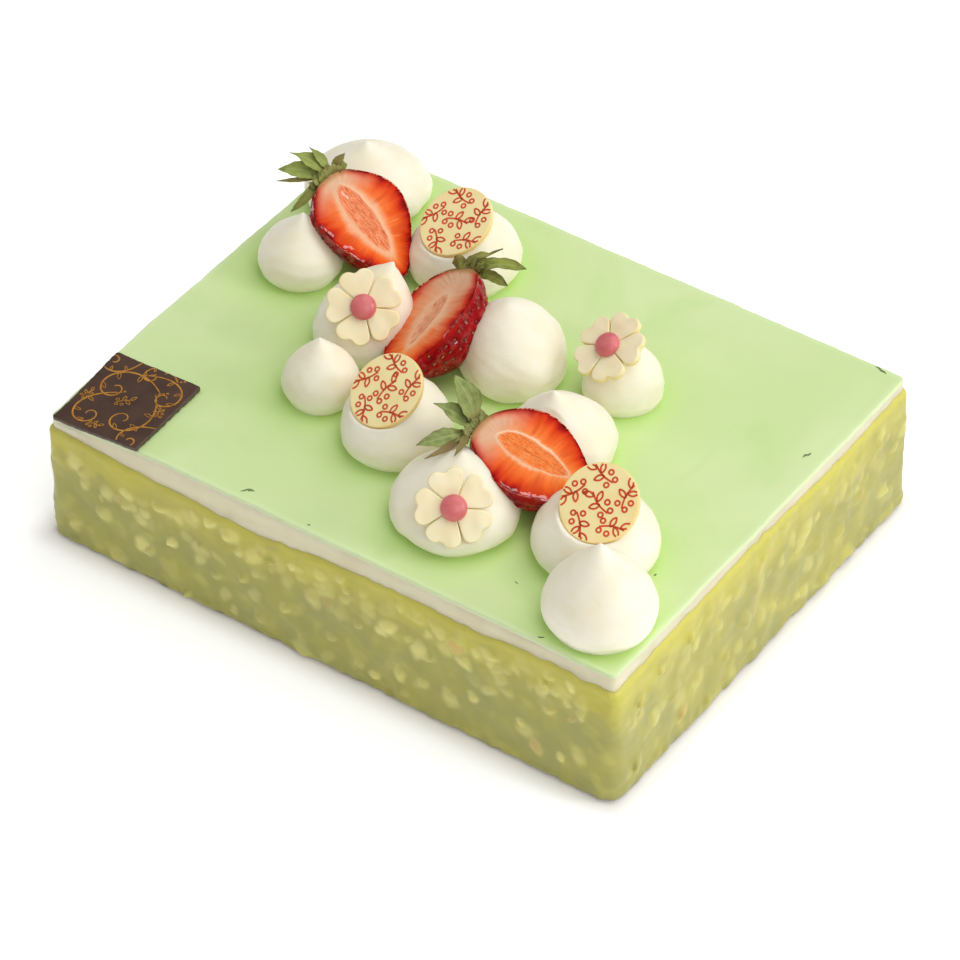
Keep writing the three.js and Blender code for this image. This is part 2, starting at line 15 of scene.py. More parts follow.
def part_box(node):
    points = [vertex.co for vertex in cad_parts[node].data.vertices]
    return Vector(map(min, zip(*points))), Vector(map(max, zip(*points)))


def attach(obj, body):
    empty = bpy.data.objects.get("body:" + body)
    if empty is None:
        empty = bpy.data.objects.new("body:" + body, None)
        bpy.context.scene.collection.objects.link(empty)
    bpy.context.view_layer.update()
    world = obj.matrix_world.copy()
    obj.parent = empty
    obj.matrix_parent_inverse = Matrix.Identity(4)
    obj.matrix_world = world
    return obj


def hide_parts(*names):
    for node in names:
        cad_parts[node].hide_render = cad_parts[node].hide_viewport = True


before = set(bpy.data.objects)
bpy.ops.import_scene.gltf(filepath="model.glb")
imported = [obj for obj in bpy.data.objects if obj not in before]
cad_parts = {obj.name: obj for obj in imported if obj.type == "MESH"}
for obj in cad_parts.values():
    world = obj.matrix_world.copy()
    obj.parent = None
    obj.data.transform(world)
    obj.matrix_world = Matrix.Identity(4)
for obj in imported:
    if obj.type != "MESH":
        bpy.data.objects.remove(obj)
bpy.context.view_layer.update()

MM = 0.001

# ---------------------------------------------------------------- dimensions, as in the CAD model

LENGTH = 215.0
WIDTH = 167.0
HEIGHT = 52.5
GLAZE_THICKNESS = 1.25
CORNER_DROOP = 3.0
DROOP_REACH = 30.0
GAP = 0.3

COAT_FOOT = 2.7
COAT_EDGE = 1.3
COAT_RIPPLE = 0.45
FOOT_ROUNDING = 3.0
COAT_CORNER_FOOT = 6.0
COAT_CORNER_TOP = 3.0
CREAM_CORNER = 2.0
RECESS_FLOOR = 39.0

# Height of the bare cream at even steps along the front, right, back and left sides.
BARE_CREAM = [
    [7.5, 9.1, 10.2, 11.5, 8.9, 7.5, 8.3, 6.4],
    [6.6, 4.9, 4.3, 5.8],
    [4.4, 6.2, 7.4, 5.6, 6.8, 6.1],
    [6.9, 5.4, 6.6, 7.8],
]

NUTS_PER_SIDE = [36, 30, 36, 30]
NUT_SEED = 4127
NUT_HALF_LENGTH = (1.5, 3.2)
NUT_STANDS_OUT = (0.9, 1.6)
GOLDEN_SHARE = 0.618

DISC_RADIUS = 12.7
DISC_THICKNESS = 1.7
FLOWER_RADIUS = 12.4
FLOWER_THICKNESS = 2.0
FLOWER_CENTRE_RADIUS = 4.2
FLOWER_CENTRE_HEIGHT = 3.4
PLAQUE_SIZE = (33.3, 34.9)
PLAQUE_THICKNESS = 1.5
PLAQUE_AT = (-89.3, -67.2)
PLAQUE_TURN = math.radians(1.5)

# Name, place on the glaze, largest radius, height, pull of the tip, and how pointed it is.
KISSES = [
    ("kiss_back_left", (-87.7, 60.8), 20.8, 21.2, (0, 0), 0.45),
    ("kiss_left", (-84.0, 18.3), 14.6, 22.8, (1, 1), 0.95),
    ("kiss_back", (-39.7, 48.7), 19.0, 23.5, (0, 0), 0.3),
    ("kiss_flower_left", (-45.7, 0.6), 16.8, 27.0, (4, 10), 0.35),
    ("kiss_front_small", (-41.2, -28.5), 12.6, 22.9, (0, 0), 0.9),
    ("kiss_disc_left", (-8.8, -32.5), 18.2, 24.0, (0, 2), 0.4),
    ("kiss_middle_round", (3.0, 15.1), 17.7, 25.0, (-3, 2), 0.0),
    ("kiss_right_small", (38.2, 24.7), 12.8, 22.0, (0, 0), 0.2),
    ("kiss_middle_right", (37.6, -9.1), 17.4, 25.8, (0, 0), 0.5),
    ("kiss_flower_front", (27.5, -52.1), 20.7, 22.5, (-1, 5), 0.35),
    ("kiss_disc_right", (71.9, -40.4), 20.2, 24.5, (0, 0), 0.45),
    ("kiss_front_tall", (90.1, -65.7), 17.3, 31.9, (0, 0), 1.0),
]
# Small peaks at the tips of blunt kisses: height, and place beside the tip.
PEAKS = {
    "kiss_back_left": (2.0, (-1.7, 2.5)),
    "kiss_middle_right": (2.2, (-1.7, -1.5)),
    "kiss_flower_left": (1.2, (0.6, 0.4)),
    "kiss_left": (0.7, (0, 0)),
    "kiss_flower_front": (1.0, (0, 0)),
}
# Shares of a kiss's height, and the shares of the radius there for a round and for a pointed one.
KISS_SHARES = [0, 0.12, 0.25, 0.4, 0.55, 0.7, 0.82, 0.93, 1]
ROUND_KISS = [0.88, 0.98, 1, 0.97, 0.89, 0.74, 0.56, 0.3, 0]
POINTED_KISS = [0.86, 0.97, 1, 0.93, 0.76, 0.52, 0.31, 0.12, 0]

# Strawberry halves as in the CAD model: the middle of the cut face, the way from the calyx to the tip,
# the way the cut face looks, and the half widths along its two sides at the berry shares. The core is
# (middle along, middle aside, half length, half width, bluntness), the collar of the calyx is (middle
# aside, half width), and the wettest streaks are (start, end, half width), all in the half's own frame.
# Leaves are (start, end, width, bend, dryness) there, from the calyx end.
STRAWBERRIES = [
    {
        "name": "left", "at": (-66.4, 32.0, 17.1),
        "axis": (0.826, -0.128, -0.549), "face": (0.534, -0.132, 0.835),
        "length": 40.7, "depth": 0.96, "core": (-2.2, 0.1, 13.6, 4.3, 0.1), "collar": (0.2, 6.0),
        "wet": [
            ((-14.8, -0.6), (-10.6, -0.1), 0.35), ((-8.0, -14.2), (-3.0, -13.3), 0.4),
            ((2.0, -12.0), (4.6, -9.4), 0.5), ((3.6, -12.9), (6.4, -11.4), 0.5),
            ((6.6, -11.6), (9.2, -9.8), 0.3),
        ],
        "half_widths": [
            (0, 5.3, 10.0, 14.8, 17.3, 16.9, 14.4, 10.2, 5.8, 2.6, 0),
            (0, 5.8, 10.6, 14.5, 14.9, 14.0, 12.1, 9.6, 6.0, 2.9, 0),
        ],
        "leaves": [
            ((-1.4, 1.5, -1.5), (-11.4, -0.1, 0.3), 3.4, 0.6, 0),
            ((-1.4, -0.2, -1.3), (-13.7, -5.4, -2.5), 5.6, 1.2, 0),
            ((-1.4, -1.6, -1.5), (-12.0, -10.5, -6.6), 5.8, 1.0, 0),
            ((-1.4, -3.2, -1.9), (-9.6, -12.9, -8.7), 1.7, 0.5, 0.7),
            ((-1.4, -3.2, -2.3), (1.7, -15.1, -9.1), 3.3, 2.6, 0.2),
            ((-1.4, 3.2, -1.9), (-3.1, 8.1, 2.3), 3.2, 0.8, 0.8),
        ],
    },
    {
        "name": "middle", "at": (-21.7, 1.7, 17.7),
        "axis": (0.013, -0.951, -0.310), "face": (-0.483, -0.277, 0.830),
        "length": 46.6, "depth": 1.11, "core": (-1.0, 0.5, 11.2, 3.0, 0.3), "collar": (2.0, 4.8),
        "wet": [((-3.9, 14.2), (1.1, 14.3), 0.3), ((1.1, 14.2), (5.4, 13.4), 0.3)],
        "half_widths": [
            (0, 5.7, 9.9, 13.4, 14.6, 14.8, 14.0, 10.9, 6.4, 3.0, 0),
            (0, 6.9, 13.0, 17.0, 17.6, 16.3, 14.0, 10.0, 6.0, 2.9, 0),
        ],
        "leaves": [
            ((-1.4, -1.5, -2.3), (-10.6, 11.6, -11.7), 6.6, 1.6, 0),
            ((-1.4, -2.0, -3.0), (-4.9, 5.3, -13.8), 5.0, 0.8, 0.2),
            ((-1.4, -2.5, -1.8), (-13.0, 3.7, -5.0), 2.6, 0.5, 0.3),
            ((-1.4, -3.1, -1.5), (-8.6, 3.3, -2.8), 4.8, 2.0, 0.3),
            ((-1.4, -2.6, -1.3), (-1.0, -2.1, 4.4), 4.4, 1.0, 0.7),
        ],
    },
    {
        "name": "right", "at": (44.4, -32.9, 17.3),
        "axis": (0.971, 0.052, -0.233), "face": (0.237, -0.103, 0.966),
        "length": 43.4, "depth": 1.03, "core": (-1.9, 1.4, 12.6, 4.4, 0.2), "collar": (-1.3, 5.2),
        "wet": [
            ((-4.1, -14.0), (0.5, -13.7), 0.5), ((0.5, -13.7), (4.6, -13.0), 0.7),
            ((4.4, -12.4), (10.1, -10.2), 0.9),
        ],
        "half_widths": [
            (0, 5.8, 11.4, 16.0, 17.8, 16.9, 14.1, 9.9, 5.7, 2.7, 0),
            (0, 5.2, 8.8, 11.8, 14.1, 14.6, 12.8, 9.8, 6.0, 2.9, 0),
        ],
        "leaves": [
            ((-1.4, 0.8, -1.5), (-13.9, 4.5, 9.9), 7.8, 1.8, 0),
            ((-1.4, -1.0, -1.3), (-14.3, -4.0, 3.4), 6.8, 1.4, 0),
            ((-1.4, -3.2, -1.7), (-10.9, -17.9, -0.7), 5.8, 1.4, 0),
            ((-1.4, -3.2, -1.9), (-5.6, -21.6, 0.7), 2.4, 0.8, 1),
            ((-1.4, -3.2, -1.9), (2.1, -17.3, 4.0), 2.4, 1.5, 0.9),
        ],
    },
]
BERRY_SHARES = [0, 0.02, 0.1, 0.22, 0.36, 0.5, 0.64, 0.78, 0.9, 0.97, 1]
BERRY_SWELL = 0.8

FLOWERS = [
    ("left", (-39.9, -6.9, 21.2), (0.43, -0.61, 0.666), 104, "kiss_flower_left"),
    ("back", (34.2, 22.1, 20.6), (-0.232, -0.472, 0.849), 35, "kiss_right_small"),
    ("front", (35.5, -64.1, 16.6), (0.43, -0.61, 0.666), 105, "kiss_flower_front"),
]
# Edge of half a petal, as (share of the half angle that it fills, share of the radius).
PETALS = 5
PETAL_EDGE = [
    (0, 0.905), (0.1, 0.92), (0.25, 0.975), (0.42, 1), (0.58, 0.99), (0.72, 0.955), (0.84, 0.9), (0.92, 0.82),
    (0.956, 0.72), (0.968, 0.58), (0.976, 0.36), (1, 0.3),
]

DISCS = [
    ("back", (-41.0, 45.4, 21.2), (-0.131, -0.469, 0.872), "kiss_back"),
    ("left", (-10.9, -35.0, 20.6), (-0.163, -0.535, 0.829), "kiss_disc_left"),
    ("right", (74.1, -42.6, 22.6), (0.0625, -0.603, 0.795), "kiss_disc_right"),
]

# ---------------------------------------------------------------- numbers and curves


def unit(v):
    v = np.asarray(v, float)
    return v / np.linalg.norm(v)


def mix(a, b, share):
    return a + (b - a) * share


def smoothstep(low, high, x):
    t = np.clip((x - low) / (high - low), 0, 1)
    return t * t * (3 - 2 * t)


def seeded_random(seed):
    """The same run of draws as the one the CAD model was made with."""
    state = seed
    while True:
        state = state * 16807 % 2147483647
        yield state / 2147483647


def spline(points, count, first=None, last=None):
    """Points along a smooth curve through the given ones. first and last steer its two ends."""
    p = np.asarray(points, float)
    first = 2 * p[0] - p[1] if first is None else np.asarray(first, float)
    last = 2 * p[-1] - p[-2] if last is None else np.asarray(last, float)
    p = np.vstack([first, p, last])
    place = np.linspace(0, len(p) - 3, count)
    step = np.minimum(place.astype(int), len(p) - 4)
    t = (place - step)[:, None]
    a, b, c, d = p[step], p[step + 1], p[step + 2], p[step + 3]
    return 0.5 * (2 * b + (c - a) * t + (2 * a - 5 * b + 4 * c - d) * t**2 + (3 * b - a - 3 * c + d) * t**3)


def even_steps(curve, count):
    """The same curve, with points at even distances."""
    gaps = np.linalg.norm(np.diff(curve, axis=0), axis=1)
    run = np.concatenate([[0], np.cumsum(gaps)])
    wanted = np.linspace(0, run[-1], count)
    return np.stack([np.interp(wanted, run, curve[:, k]) for k in range(curve.shape[1])], -1)


def wobble(points, size, seed, waves=7):
    """Smooth unevenness between about -1 and 1, with bumps of roughly the given size."""
    rng = np.random.default_rng(seed)
    total = np.zeros(points.shape[:-1])
    for _ in range(waves):
        way = unit(rng.normal(size=points.shape[-1])) * 2 * math.pi / (size * rng.uniform(0.7, 1.6))
        total += np.sin(points @ way + rng.uniform(0, 2 * math.pi))
    return total / math.sqrt(waves)


def placing(at, face, axis=None):
    """Axes and origin of a topping whose Z looks along face, and whose X lies level or along axis."""
    z = unit(face)
    x = np.cross((0, 0, 1), z) if axis is None else np.asarray(axis, float)
    x = unit(x - z * (x @ z))
    return np.stack([x, np.cross(z, x), z]), np.array([at[0], at[1], HEIGHT + at[2]])


def turned(points, angle):
    """Flat points turned about the origin."""
    return points @ np.array([(math.cos(angle), math.sin(angle)), (-math.sin(angle), math.cos(angle))])


def to_cake(placed, points):
    axes, origin = placed
    return points @ axes + origin


def from_cake(placed, points):
    axes, origin = placed
    return (points - origin) @ axes.T


# ---------------------------------------------------------------- meshes


def grid_faces(rows, columns, wrap=True):
    """Quads between the points of a grid. With wrap, its last column joins its first one."""
    i = np.arange(rows - 1)[:, None] * columns
    j = np.arange(columns if wrap else columns - 1)[None, :]
    k = (j + 1) % columns
    return np.stack([i + j, i + k, i + columns + k, i + columns + j], -1).reshape(-1, 4).tolist()


def closed_loft(rings):
    """A closed body through rings (rows x columns x 3), with a fan of triangles over each end."""
    rows, columns = rings.shape[:2]
    points = np.vstack([rings.reshape(-1, 3), rings[0].mean(0), rings[-1].mean(0)])
    faces = grid_faces(rows, columns)
    foot, head = rows * columns, rows * columns + 1
    last = (rows - 1) * columns
    for i in range(columns):
        j = (i + 1) % columns
        faces.append([foot, j, i])
        faces.append([head, last + i, last + j])
    return points, faces


def with_ends(values):
    """Values at a loft's rings, followed by those of its two end points."""
    return np.concatenate([values.reshape(-1), [values[0].mean(), values[-1].mean()]])


def round_rings(profile, columns, wave=0.0, start=0.0):
    """Rings round the Z axis, one for each (radius, height), with three shallow waves where asked."""
    angle = np.linspace(0, 2 * math.pi, columns, endpoint=False)
    flat = np.stack([np.cos(angle), np.sin(angle)], -1) * (1 + wave * np.sin(3 * angle + start))[:, None]
    return np.array([np.column_stack([radius * flat, np.full(columns, float(z))]) for radius, z in profile])


def join(parts):
    """One mesh out of several (points, faces, ...) with values at their points after them."""
    faces = []
    start = 0
    for part in parts:
        faces += [[start + corner for corner in face] for face in part[1]]
        start += len(part[0])
    extra = [np.concatenate(values) for values in zip(*(part[2:] for part in parts))]
    return (np.vstack([part[0] for part in parts]), faces, *extra)


def add_piece(name, points, faces, materials, slot, node=None, values=None, uses=None, weld=False, sharp=60):
    """A mesh that rides on the cake. values are kept at the points; uses gives each face's material."""
    mesh = bpy.data.meshes.new(name)
    mesh.from_pydata((points * MM).tolist(), [], faces)
    for key, numbers in (values or {}).items():
        vector = numbers.ndim == 2
        attribute = mesh.attributes.new(key, "FLOAT_VECTOR" if vector else "FLOAT", "POINT")
        attribute.data.foreach_set("vector" if vector else "value", numbers.astype(np.float32).ravel())
    for material in materials:
        mesh.materials.append(material)
    if uses is not None:
        mesh.polygons.foreach_set("material_index", np.asarray(uses, np.int32))
    if weld:
        soft = bmesh.new()
        soft.from_mesh(mesh)
        bmesh.ops.remove_doubles(soft, verts=soft.verts, dist=0.002 * MM)
        bmesh.ops.dissolve_degenerate(soft, edges=soft.edges, dist=0.001 * MM)
        soft.to_mesh(mesh)
        soft.free()
    mesh.shade_smooth()
    mesh.set_sharp_from_angle(angle=math.radians(sharp))
    mesh.update()
    piece = bpy.data.objects.new(name, mesh)
    bpy.context.scene.collection.objects.link(piece)
    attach(piece, "root")
    if node:
        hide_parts(node)
    return piece


# ---------------------------------------------------------------- materials


def rgb(red, green, blue):
    """A colour as screens name it, in the linear form that shaders take."""
    def linear(value):
        value /= 255
        return value / 12.92 if value <= 0.04045 else ((value + 0.055) / 1.055) ** 2.4

    return (linear(red), linear(green), linear(blue), 1.0)


class Value:
    """A number in a material. What is added to it or multiplied with it makes shader nodes."""

    def __init__(self, look, socket):
        self.look, self.socket = look, socket

    def __add__(self, other):
        return self.look.maths("ADD", self, other)

    def __sub__(self, other):
        return self.look.maths("SUBTRACT", self, other)

    def __mul__(self, other):
        return self.look.maths("MULTIPLY", self, other)

    def __abs__(self):
        return self.look.maths("ABSOLUTE", self)

    def span(self, low, high, to_low=0.0, to_high=1.0):
        """The number mapped smoothly from one range to another."""
        inputs = {"Value": self, "From Min": low, "From Max": high, "To Min": to_low, "To Max": to_high}
        return self.look.number("MapRange", inputs, "Result", interpolation_type="SMOOTHSTEP")


class Look:
    """A material in the making. Each method adds a node and returns its output."""

    def __init__(self, name, **sockets):
        self.material = bpy.data.materials.new(name)
        self.material.use_nodes = True
        # A faint glow needs no light sampling of its own.
        self.material.cycles.emission_sampling = "NONE"
        self.tree = self.material.node_tree
        self.set(**sockets)
        self.place = self.node("TexCoord").outputs["Object"]

    def put(self, socket, value):
        value = getattr(value, "socket", value)
        if isinstance(value, bpy.types.NodeSocket):
            self.tree.links.new(value, socket)
        elif value is not None:
            socket.default_value = value

    def set(self, **sockets):
        for socket, value in sockets.items():
            self.put(self.tree.nodes["Principled BSDF"].inputs[socket.replace("_", " ")], value)
        return self.material

    def node(self, kind, inputs=(), **settings):
        node = self.tree.nodes.new("ShaderNode" + kind)
        for key, value in settings.items():
            setattr(node, key, value)
        for key, value in dict(inputs).items():
            self.put(node.inputs[key], value)
        return node

    def number(self, kind, inputs, output, **settings):
        return Value(self, self.node(kind, inputs, **settings).outputs[output])

    def value(self, name):
        return self.number("Attribute", (), "Fac", attribute_name=name)

    def vector(self, name):
        return self.node("Attribute", attribute_name=name).outputs["Vector"]

    def parts(self, vector):
        return [Value(self, output) for output in self.node("SeparateXYZ", {0: vector}).outputs]

    def combine(self, x, y, z):
        return self.node("CombineXYZ", {0: x, 1: y, 2: z}).outputs[0]

    def noise(self, scale, detail=2.0, roughness=0.5, distortion=0.0, at=None):
        inputs = {"Vector": at or self.place, "Scale": scale, "Detail": detail}
        inputs |= {"Roughness": roughness, "Distortion": distortion}
        return self.number("TexNoise", inputs, "Fac")

    def cells(self, scale):
        return self.number("TexVoronoi", {"Vector": self.place, "Scale": scale}, "Distance")

    def maths(self, operation, a, b=None):
        return self.number("Math", {0: a, 1: b}, 0, operation=operation)

    def mix(self, share, a, b):
        return self.node("Mix", {"Factor": share, 6: a, 7: b}, data_type="RGBA").outputs[2]

    def ramp(self, value, stops):
        node = self.node("ValToRGB", {"Fac": value})
        elements = node.color_ramp.elements
        while len(elements) < len(stops):
            elements.new(0.5)
        for element, (place, colour) in zip(elements, stops):
            element.position = place
            element.color = rgb(*colour)
        return node.outputs["Color"]

    def bump(self, height, depth, strength=1.0):
        inputs = {"Height": height, "Distance": depth * MM, "Strength": strength}
        return self.node("Bump", inputs).outputs["Normal"]


def coating_look():
    """Pistachio chocolate over chopped nuts: yellower below its upper edge, greyer further down, with painted
    light along its lip and painted shade along its foot.
    """
    look = Look(
        "coating", Roughness=0.4, Specular_IOR_Level=0.35,
        Subsurface_Weight=0.25, Subsurface_Scale=0.003, Subsurface_Radius=(1.0, 0.8, 0.3),
    )
    below = look.value("below_edge")
    clouds = look.noise(60)
    blotches = look.noise(130, 1)
    patches = clouds.span(0.35, 0.65)
    upper = look.mix(patches, rgb(196, 188, 74), rgb(190, 183, 82))
    lower = look.mix(patches, rgb(164, 161, 90), rgb(172, 167, 80))
    colour = look.mix((below + clouds * 12.0).span(9, 24), upper, lower)
    colour = look.mix(blotches.span(0.5, 0.75, 0, 0.45), colour, rgb(200, 194, 98))
    colour = look.mix(blotches.span(0.46, 0.25, 0, 0.35), colour, rgb(150, 147, 84))
    # Painted light: the lip, within 3 mm below the edge, is made lighter and yellower against its shade.
    colour = look.mix(below.span(3.0, 0.2, 0, 0.75), colour, rgb(216, 208, 104))
    pale = look.mix(look.value("ruddy"), rgb(234, 226, 140), rgb(226, 186, 118))
    colour = look.mix(look.value("nut") * 0.9, colour, pale)
    # Painted shade: the foot darkens over its lowest 3 mm, most below 1.4 mm, as in shadow where it meets the
    # floor.
    foot = look.parts(look.place)[2] + blotches * (1.6 * MM)
    colour = look.mix(foot.span(3.0 * MM, 1.4 * MM, 0, 0.85), colour, rgb(92, 84, 44))
    return look.set(Base_Color=colour, Normal=look.bump(blotches + look.noise(700) * 0.08, 0.4, 0.5))


def cream_look(name, colour, shade, grain, glow=0.0):
    """Whipped cream or mousse: soft, a little uneven in tone, with sparse tiny pits. glow is a painted glow,
    an emission that stands in for the light coming through it from the glaze right under it; it is full at
    the foot and three tenths as strong from 8 mm up, where it lightens the shade."""
    look = Look(
        name, Roughness=0.5, Specular_IOR_Level=0.35,
        Subsurface_Weight=0.5, Subsurface_Scale=0.009, Subsurface_Radius=(1.0, 0.85, 0.6),
    )
    tone = look.mix(look.noise(90, 3).span(0.35, 0.7), colour, shade)
    few = look.noise(150, 1).span(0.5, 0.62)
    pits = (look.cells(330).span(0.05, 0.16) - 1.0) * few + 1.0
    flatter = look.node("Mapping", {"Vector": look.place, "Scale": (1, 1, 2.2)}).outputs[0]
    height = look.noise(240, 3, 0.55, at=flatter) + pits * 0.5
    level = look.parts(look.place)[2]
    # Painted glow: an emission, strongest at the foot and fainter higher up.
    painted_glow = level.span((HEIGHT + 8) * MM, HEIGHT * MM, 0.3 * glow, glow)
    return look.set(
        Base_Color=tone, Emission_Color=(1.0, 1.0, 0.66, 1), Emission_Strength=painted_glow,
        Normal=look.bump(height, grain, 0.6),
    )


def glaze_look():
    """A thin sugar glaze, almost even, paler along its rim, with painted shade, greener, round the feet of
    the kisses.
    """
    look = Look(
        "glaze", Roughness=0.38, Specular_IOR_Level=0.4, Subsurface_Weight=0.06, Subsurface_Scale=0.003,
    )
    clouds = look.noise(16, 2, 0.5, 0.6)
    colour = look.mix(clouds.span(0.3, 0.7), rgb(206, 228, 162), rgb(215, 233, 172))
    colour = look.mix(look.noise(21, 3, 0.6, 0.8).span(0.52, 0.72, 0, 0.4), colour, rgb(190, 222, 142))
    # Painted shade: greener and a little darker round the feet of the kisses.
    colour = look.mix(look.value("painted_kiss_shade") * 0.8, colour, rgb(182, 222, 116))
    colour = look.mix(look.value("rim").span(0.2, 2.6, 0.6, 0.0), colour, rgb(220, 238, 186))
    colour = look.mix(look.value("wall") * 0.9, colour, rgb(218, 226, 180))
    return look.set(Base_Color=colour, Normal=look.bump(look.noise(28) + look.noise(420) * 0.03, 1.2, 0.5))


# Colours of ripe and of pale flesh at shares of the way from the core to the skin.
RIPE = [
    (0.2, (250, 152, 86)), (0.42, (246, 122, 50)), (0.62, (238, 97, 30)),
    (0.8, (219, 62, 18)), (0.92, (178, 22, 12)), (1.0, (128, 8, 12)),
]
PALLID = [
    (0.2, (236, 180, 142)), (0.5, (230, 164, 124)), (0.68, (222, 126, 90)),
    (0.82, (210, 66, 42)), (0.94, (172, 20, 18)), (1.0, (128, 8, 12)),
]


def flesh_look(name, pallor, neck, halo, edge, core, fibre, grain, vein):
    """The cut face of a strawberry. Its values run from the core line (0) to the skin (1), round the rim,
    and from the calyx (0) to the tip (1). core_off is the distance outside the edge of the core."""
    look = Look(
        name, Roughness=0.34, Specular_IOR_Level=0.05, Coat_Roughness=0.06, Coat_IOR=2.1,
        Subsurface_Weight=0.08, Subsurface_Scale=0.002, Subsurface_Radius=(1.0, 0.35, 0.2),
    )
    out, run, along = look.parts(look.vector("flesh"))
    core_off, aside, wet = (look.value(key) for key in ("core_off", "aside", "wet"))
    ways = look.combine(run, out * 1.6, 0.0)
    broad = look.noise(0.26, 1, 0.5, 0.2, ways)
    rays = look.noise(0.75, 3, 0.6, 0.2, ways)
    blotches = look.noise(170)
    lean = blotches - 0.5
    past_neck = along.span(0.1, 0.34)

    uneven = ((broad - 0.5) * 0.4 + (rays - 0.5) * 0.2) * past_neck + lean * 0.2
    place = out + uneven * core_off.span(0.0, 2.5)
    patches = look.maths("MAXIMUM", blotches.span(0.66, 0.46, 0.35, 1.0), along.span(0.5, 0.3))
    pale = along.span(0.95, 0.2) * pallor * patches
    colour = look.mix(pale, look.ramp(place, RIPE), look.ramp(place, PALLID))

    window = core_off.span(0.6, 3.0) * out.span(0.97, 0.8) * past_neck
    colour = look.mix(rays.span(0.55, 0.72) * window * (0.66 * vein), colour, rgb(252, 172, 118))
    colour = look.mix(broad.span(0.48, 0.3) * window * mix(0.5, 0.15, pallor), colour, rgb(208, 54, 20))

    frayed = core_off + lean * 2.6
    band = frayed + (rays - 0.5) * 2.0 * past_neck
    colour = look.mix(band.span(halo, 0.1 * halo, 0, 0.8), colour, rgb(240, 194, 156))
    shoulder = (along + lean * 0.14).span(neck + 0.2, neck - 0.05) * out.span(1.0, 0.6)
    colour = look.mix(shoulder * 0.9, colour, rgb(224, 182, 149))
    colour = look.mix(along.span(0.07, 0.01, 0, 0.8), colour, rgb(176, 150, 96))

    fibres = look.noise(1.5, 3, 0.6, 0.3, look.combine(along * 9, aside * 1.6, 0.0))
    grains = look.cells(1700)
    heart = look.mix(fibres.span(0.42, 0.62), core, fibre)
    heart = look.mix(grains.span(0.3, 0.8, 0, grain), heart, rgb(216, 92, 42))
    strand = abs(core_off + 1.3).span(1.3, 0.2, 0.3, 1.0)
    heart = look.mix(fibres.span(0.47, 0.38, 0, vein) * strand, heart, rgb(186, 82, 48))
    in_core = (core_off + lean * 1.6).span(0.8, -1.3)
    colour = look.mix(in_core, colour, heart)
    line = abs(frayed - 0.2).span(0.7, 0.0) * aside.span(-3.0, 2.0, 0.2 * edge, edge)
    colour = look.mix(line * along.span(0.8, 0.55), colour, rgb(252, 216, 180))

    height = (broad * 1.2 + rays) * past_neck + fibres * 0.6 + grains * in_core * (2 * grain)
    broken = look.noise(650, 3, 0.6) - 0.5
    film = (wet + broken * 4.0).span(0.55, 0.75) * wet.span(0.0, 0.3)
    return look.set(Base_Color=colour, Coat_Weight=film, Normal=look.bump(height, 0.3, 0.7))


def skin_look():
    look = Look("strawberry_skin", Roughness=0.3, Specular_IOR_Level=0.08, Coat_Roughness=0.05, Coat_IOR=1.8)
    colour = look.mix(look.noise(130, 3).span(0.35, 0.7), rgb(166, 5, 16), rgb(124, 0, 8))
    # Painted shade in the pits round the seeds.
    colour = look.mix(look.value("pit_shade") * 0.7, colour, rgb(84, 0, 6))
    colour = look.mix(look.value("skin_rim").span(2.4, 0.1, 0, 0.55), colour, rgb(180, 26, 16))
    colour = look.mix(look.value("collar") * 0.85, colour, rgb(186, 158, 104))
    return look.set(
        Base_Color=colour,
        Coat_Weight=look.noise(300).span(0.5, 0.62, 0.03, 0.55),
        Coat_Normal=look.bump(look.noise(330), 0.7),
        Normal=look.bump(look.noise(600), 0.12, 0.5),
    )


def seed_look():
    look = Look("strawberry_seed", Roughness=0.4)
    tone = look.mix(look.noise(500, 1).span(0.4, 0.6), rgb(112, 40, 20), rgb(172, 96, 46))
    return look.set(Base_Color=tone)


def leaf_look(name, fresh, shade, tip):
    look = Look(name, Roughness=0.5, Specular_IOR_Level=0.3, Subsurface_Weight=0.05, Subsurface_Scale=0.001)
    along, across, dryness = look.parts(look.vector("leaf"))
    patches = look.noise(260, 3, 0.6)
    side = abs(across)
    fan = across * (along - 1.35) * -9
    veins = look.noise(1.0, at=look.combine(fan, along * 1.5, dryness))
    pale = look.mix(0.6, fresh, rgb(204, 204, 140))
    colour = look.mix(patches.span(0.35, 0.68, 0, 0.6), fresh, shade)
    colour = look.mix(veins.span(0.5, 0.68, 0, 0.5), colour, pale)
    colour = look.mix(side.span(0.1, 0.0, 0, 0.5), colour, pale)
    colour = look.mix(side.span(0.82, 1.0, 0, 0.35), colour, tip)
    end = along + (patches - 0.5) * 0.5
    colour = look.mix(end.span(0.84, 1.04, 0, 0.85), colour, tip)
    colour = look.mix(end.span(0.26, 0.02, 0, 0.75), colour, rgb(156, 138, 80))
    colour = look.mix(dryness * 0.85, colour, rgb(136, 110, 68))
    return look.set(Base_Color=colour, Normal=look.bump(veins * 1.4 + patches, 0.25, 0.8))


def chocolate_look(name, colour, shade, edge, **sockets):
    """Moulded white chocolate, with a yellower rim where light goes through it."""
    look = Look(name, **sockets)
    tone = look.mix(look.noise(120, 3).span(0.35, 0.7), colour, shade)
    tone = look.mix(look.value("rim").span(0.4, 0.0, 0, 0.7), tone, edge)
    return look.set(Base_Color=tone, Normal=look.bump(look.noise(500), 0.12, 0.5))


def plain_look(name, colour, shade, size, **sockets):
    """A tone that wanders between two colours over patches of about the given size."""
    look = Look(name, **sockets)
    tone = look.mix(look.noise(1000 / size, 3, 0.6).span(0.35, 0.68), colour, shade)
    return look.set(Base_Color=tone, Normal=look.bump(look.noise(2600 / size), 0.06, 0.5))


# ---------------------------------------------------------------- block, cream and glaze

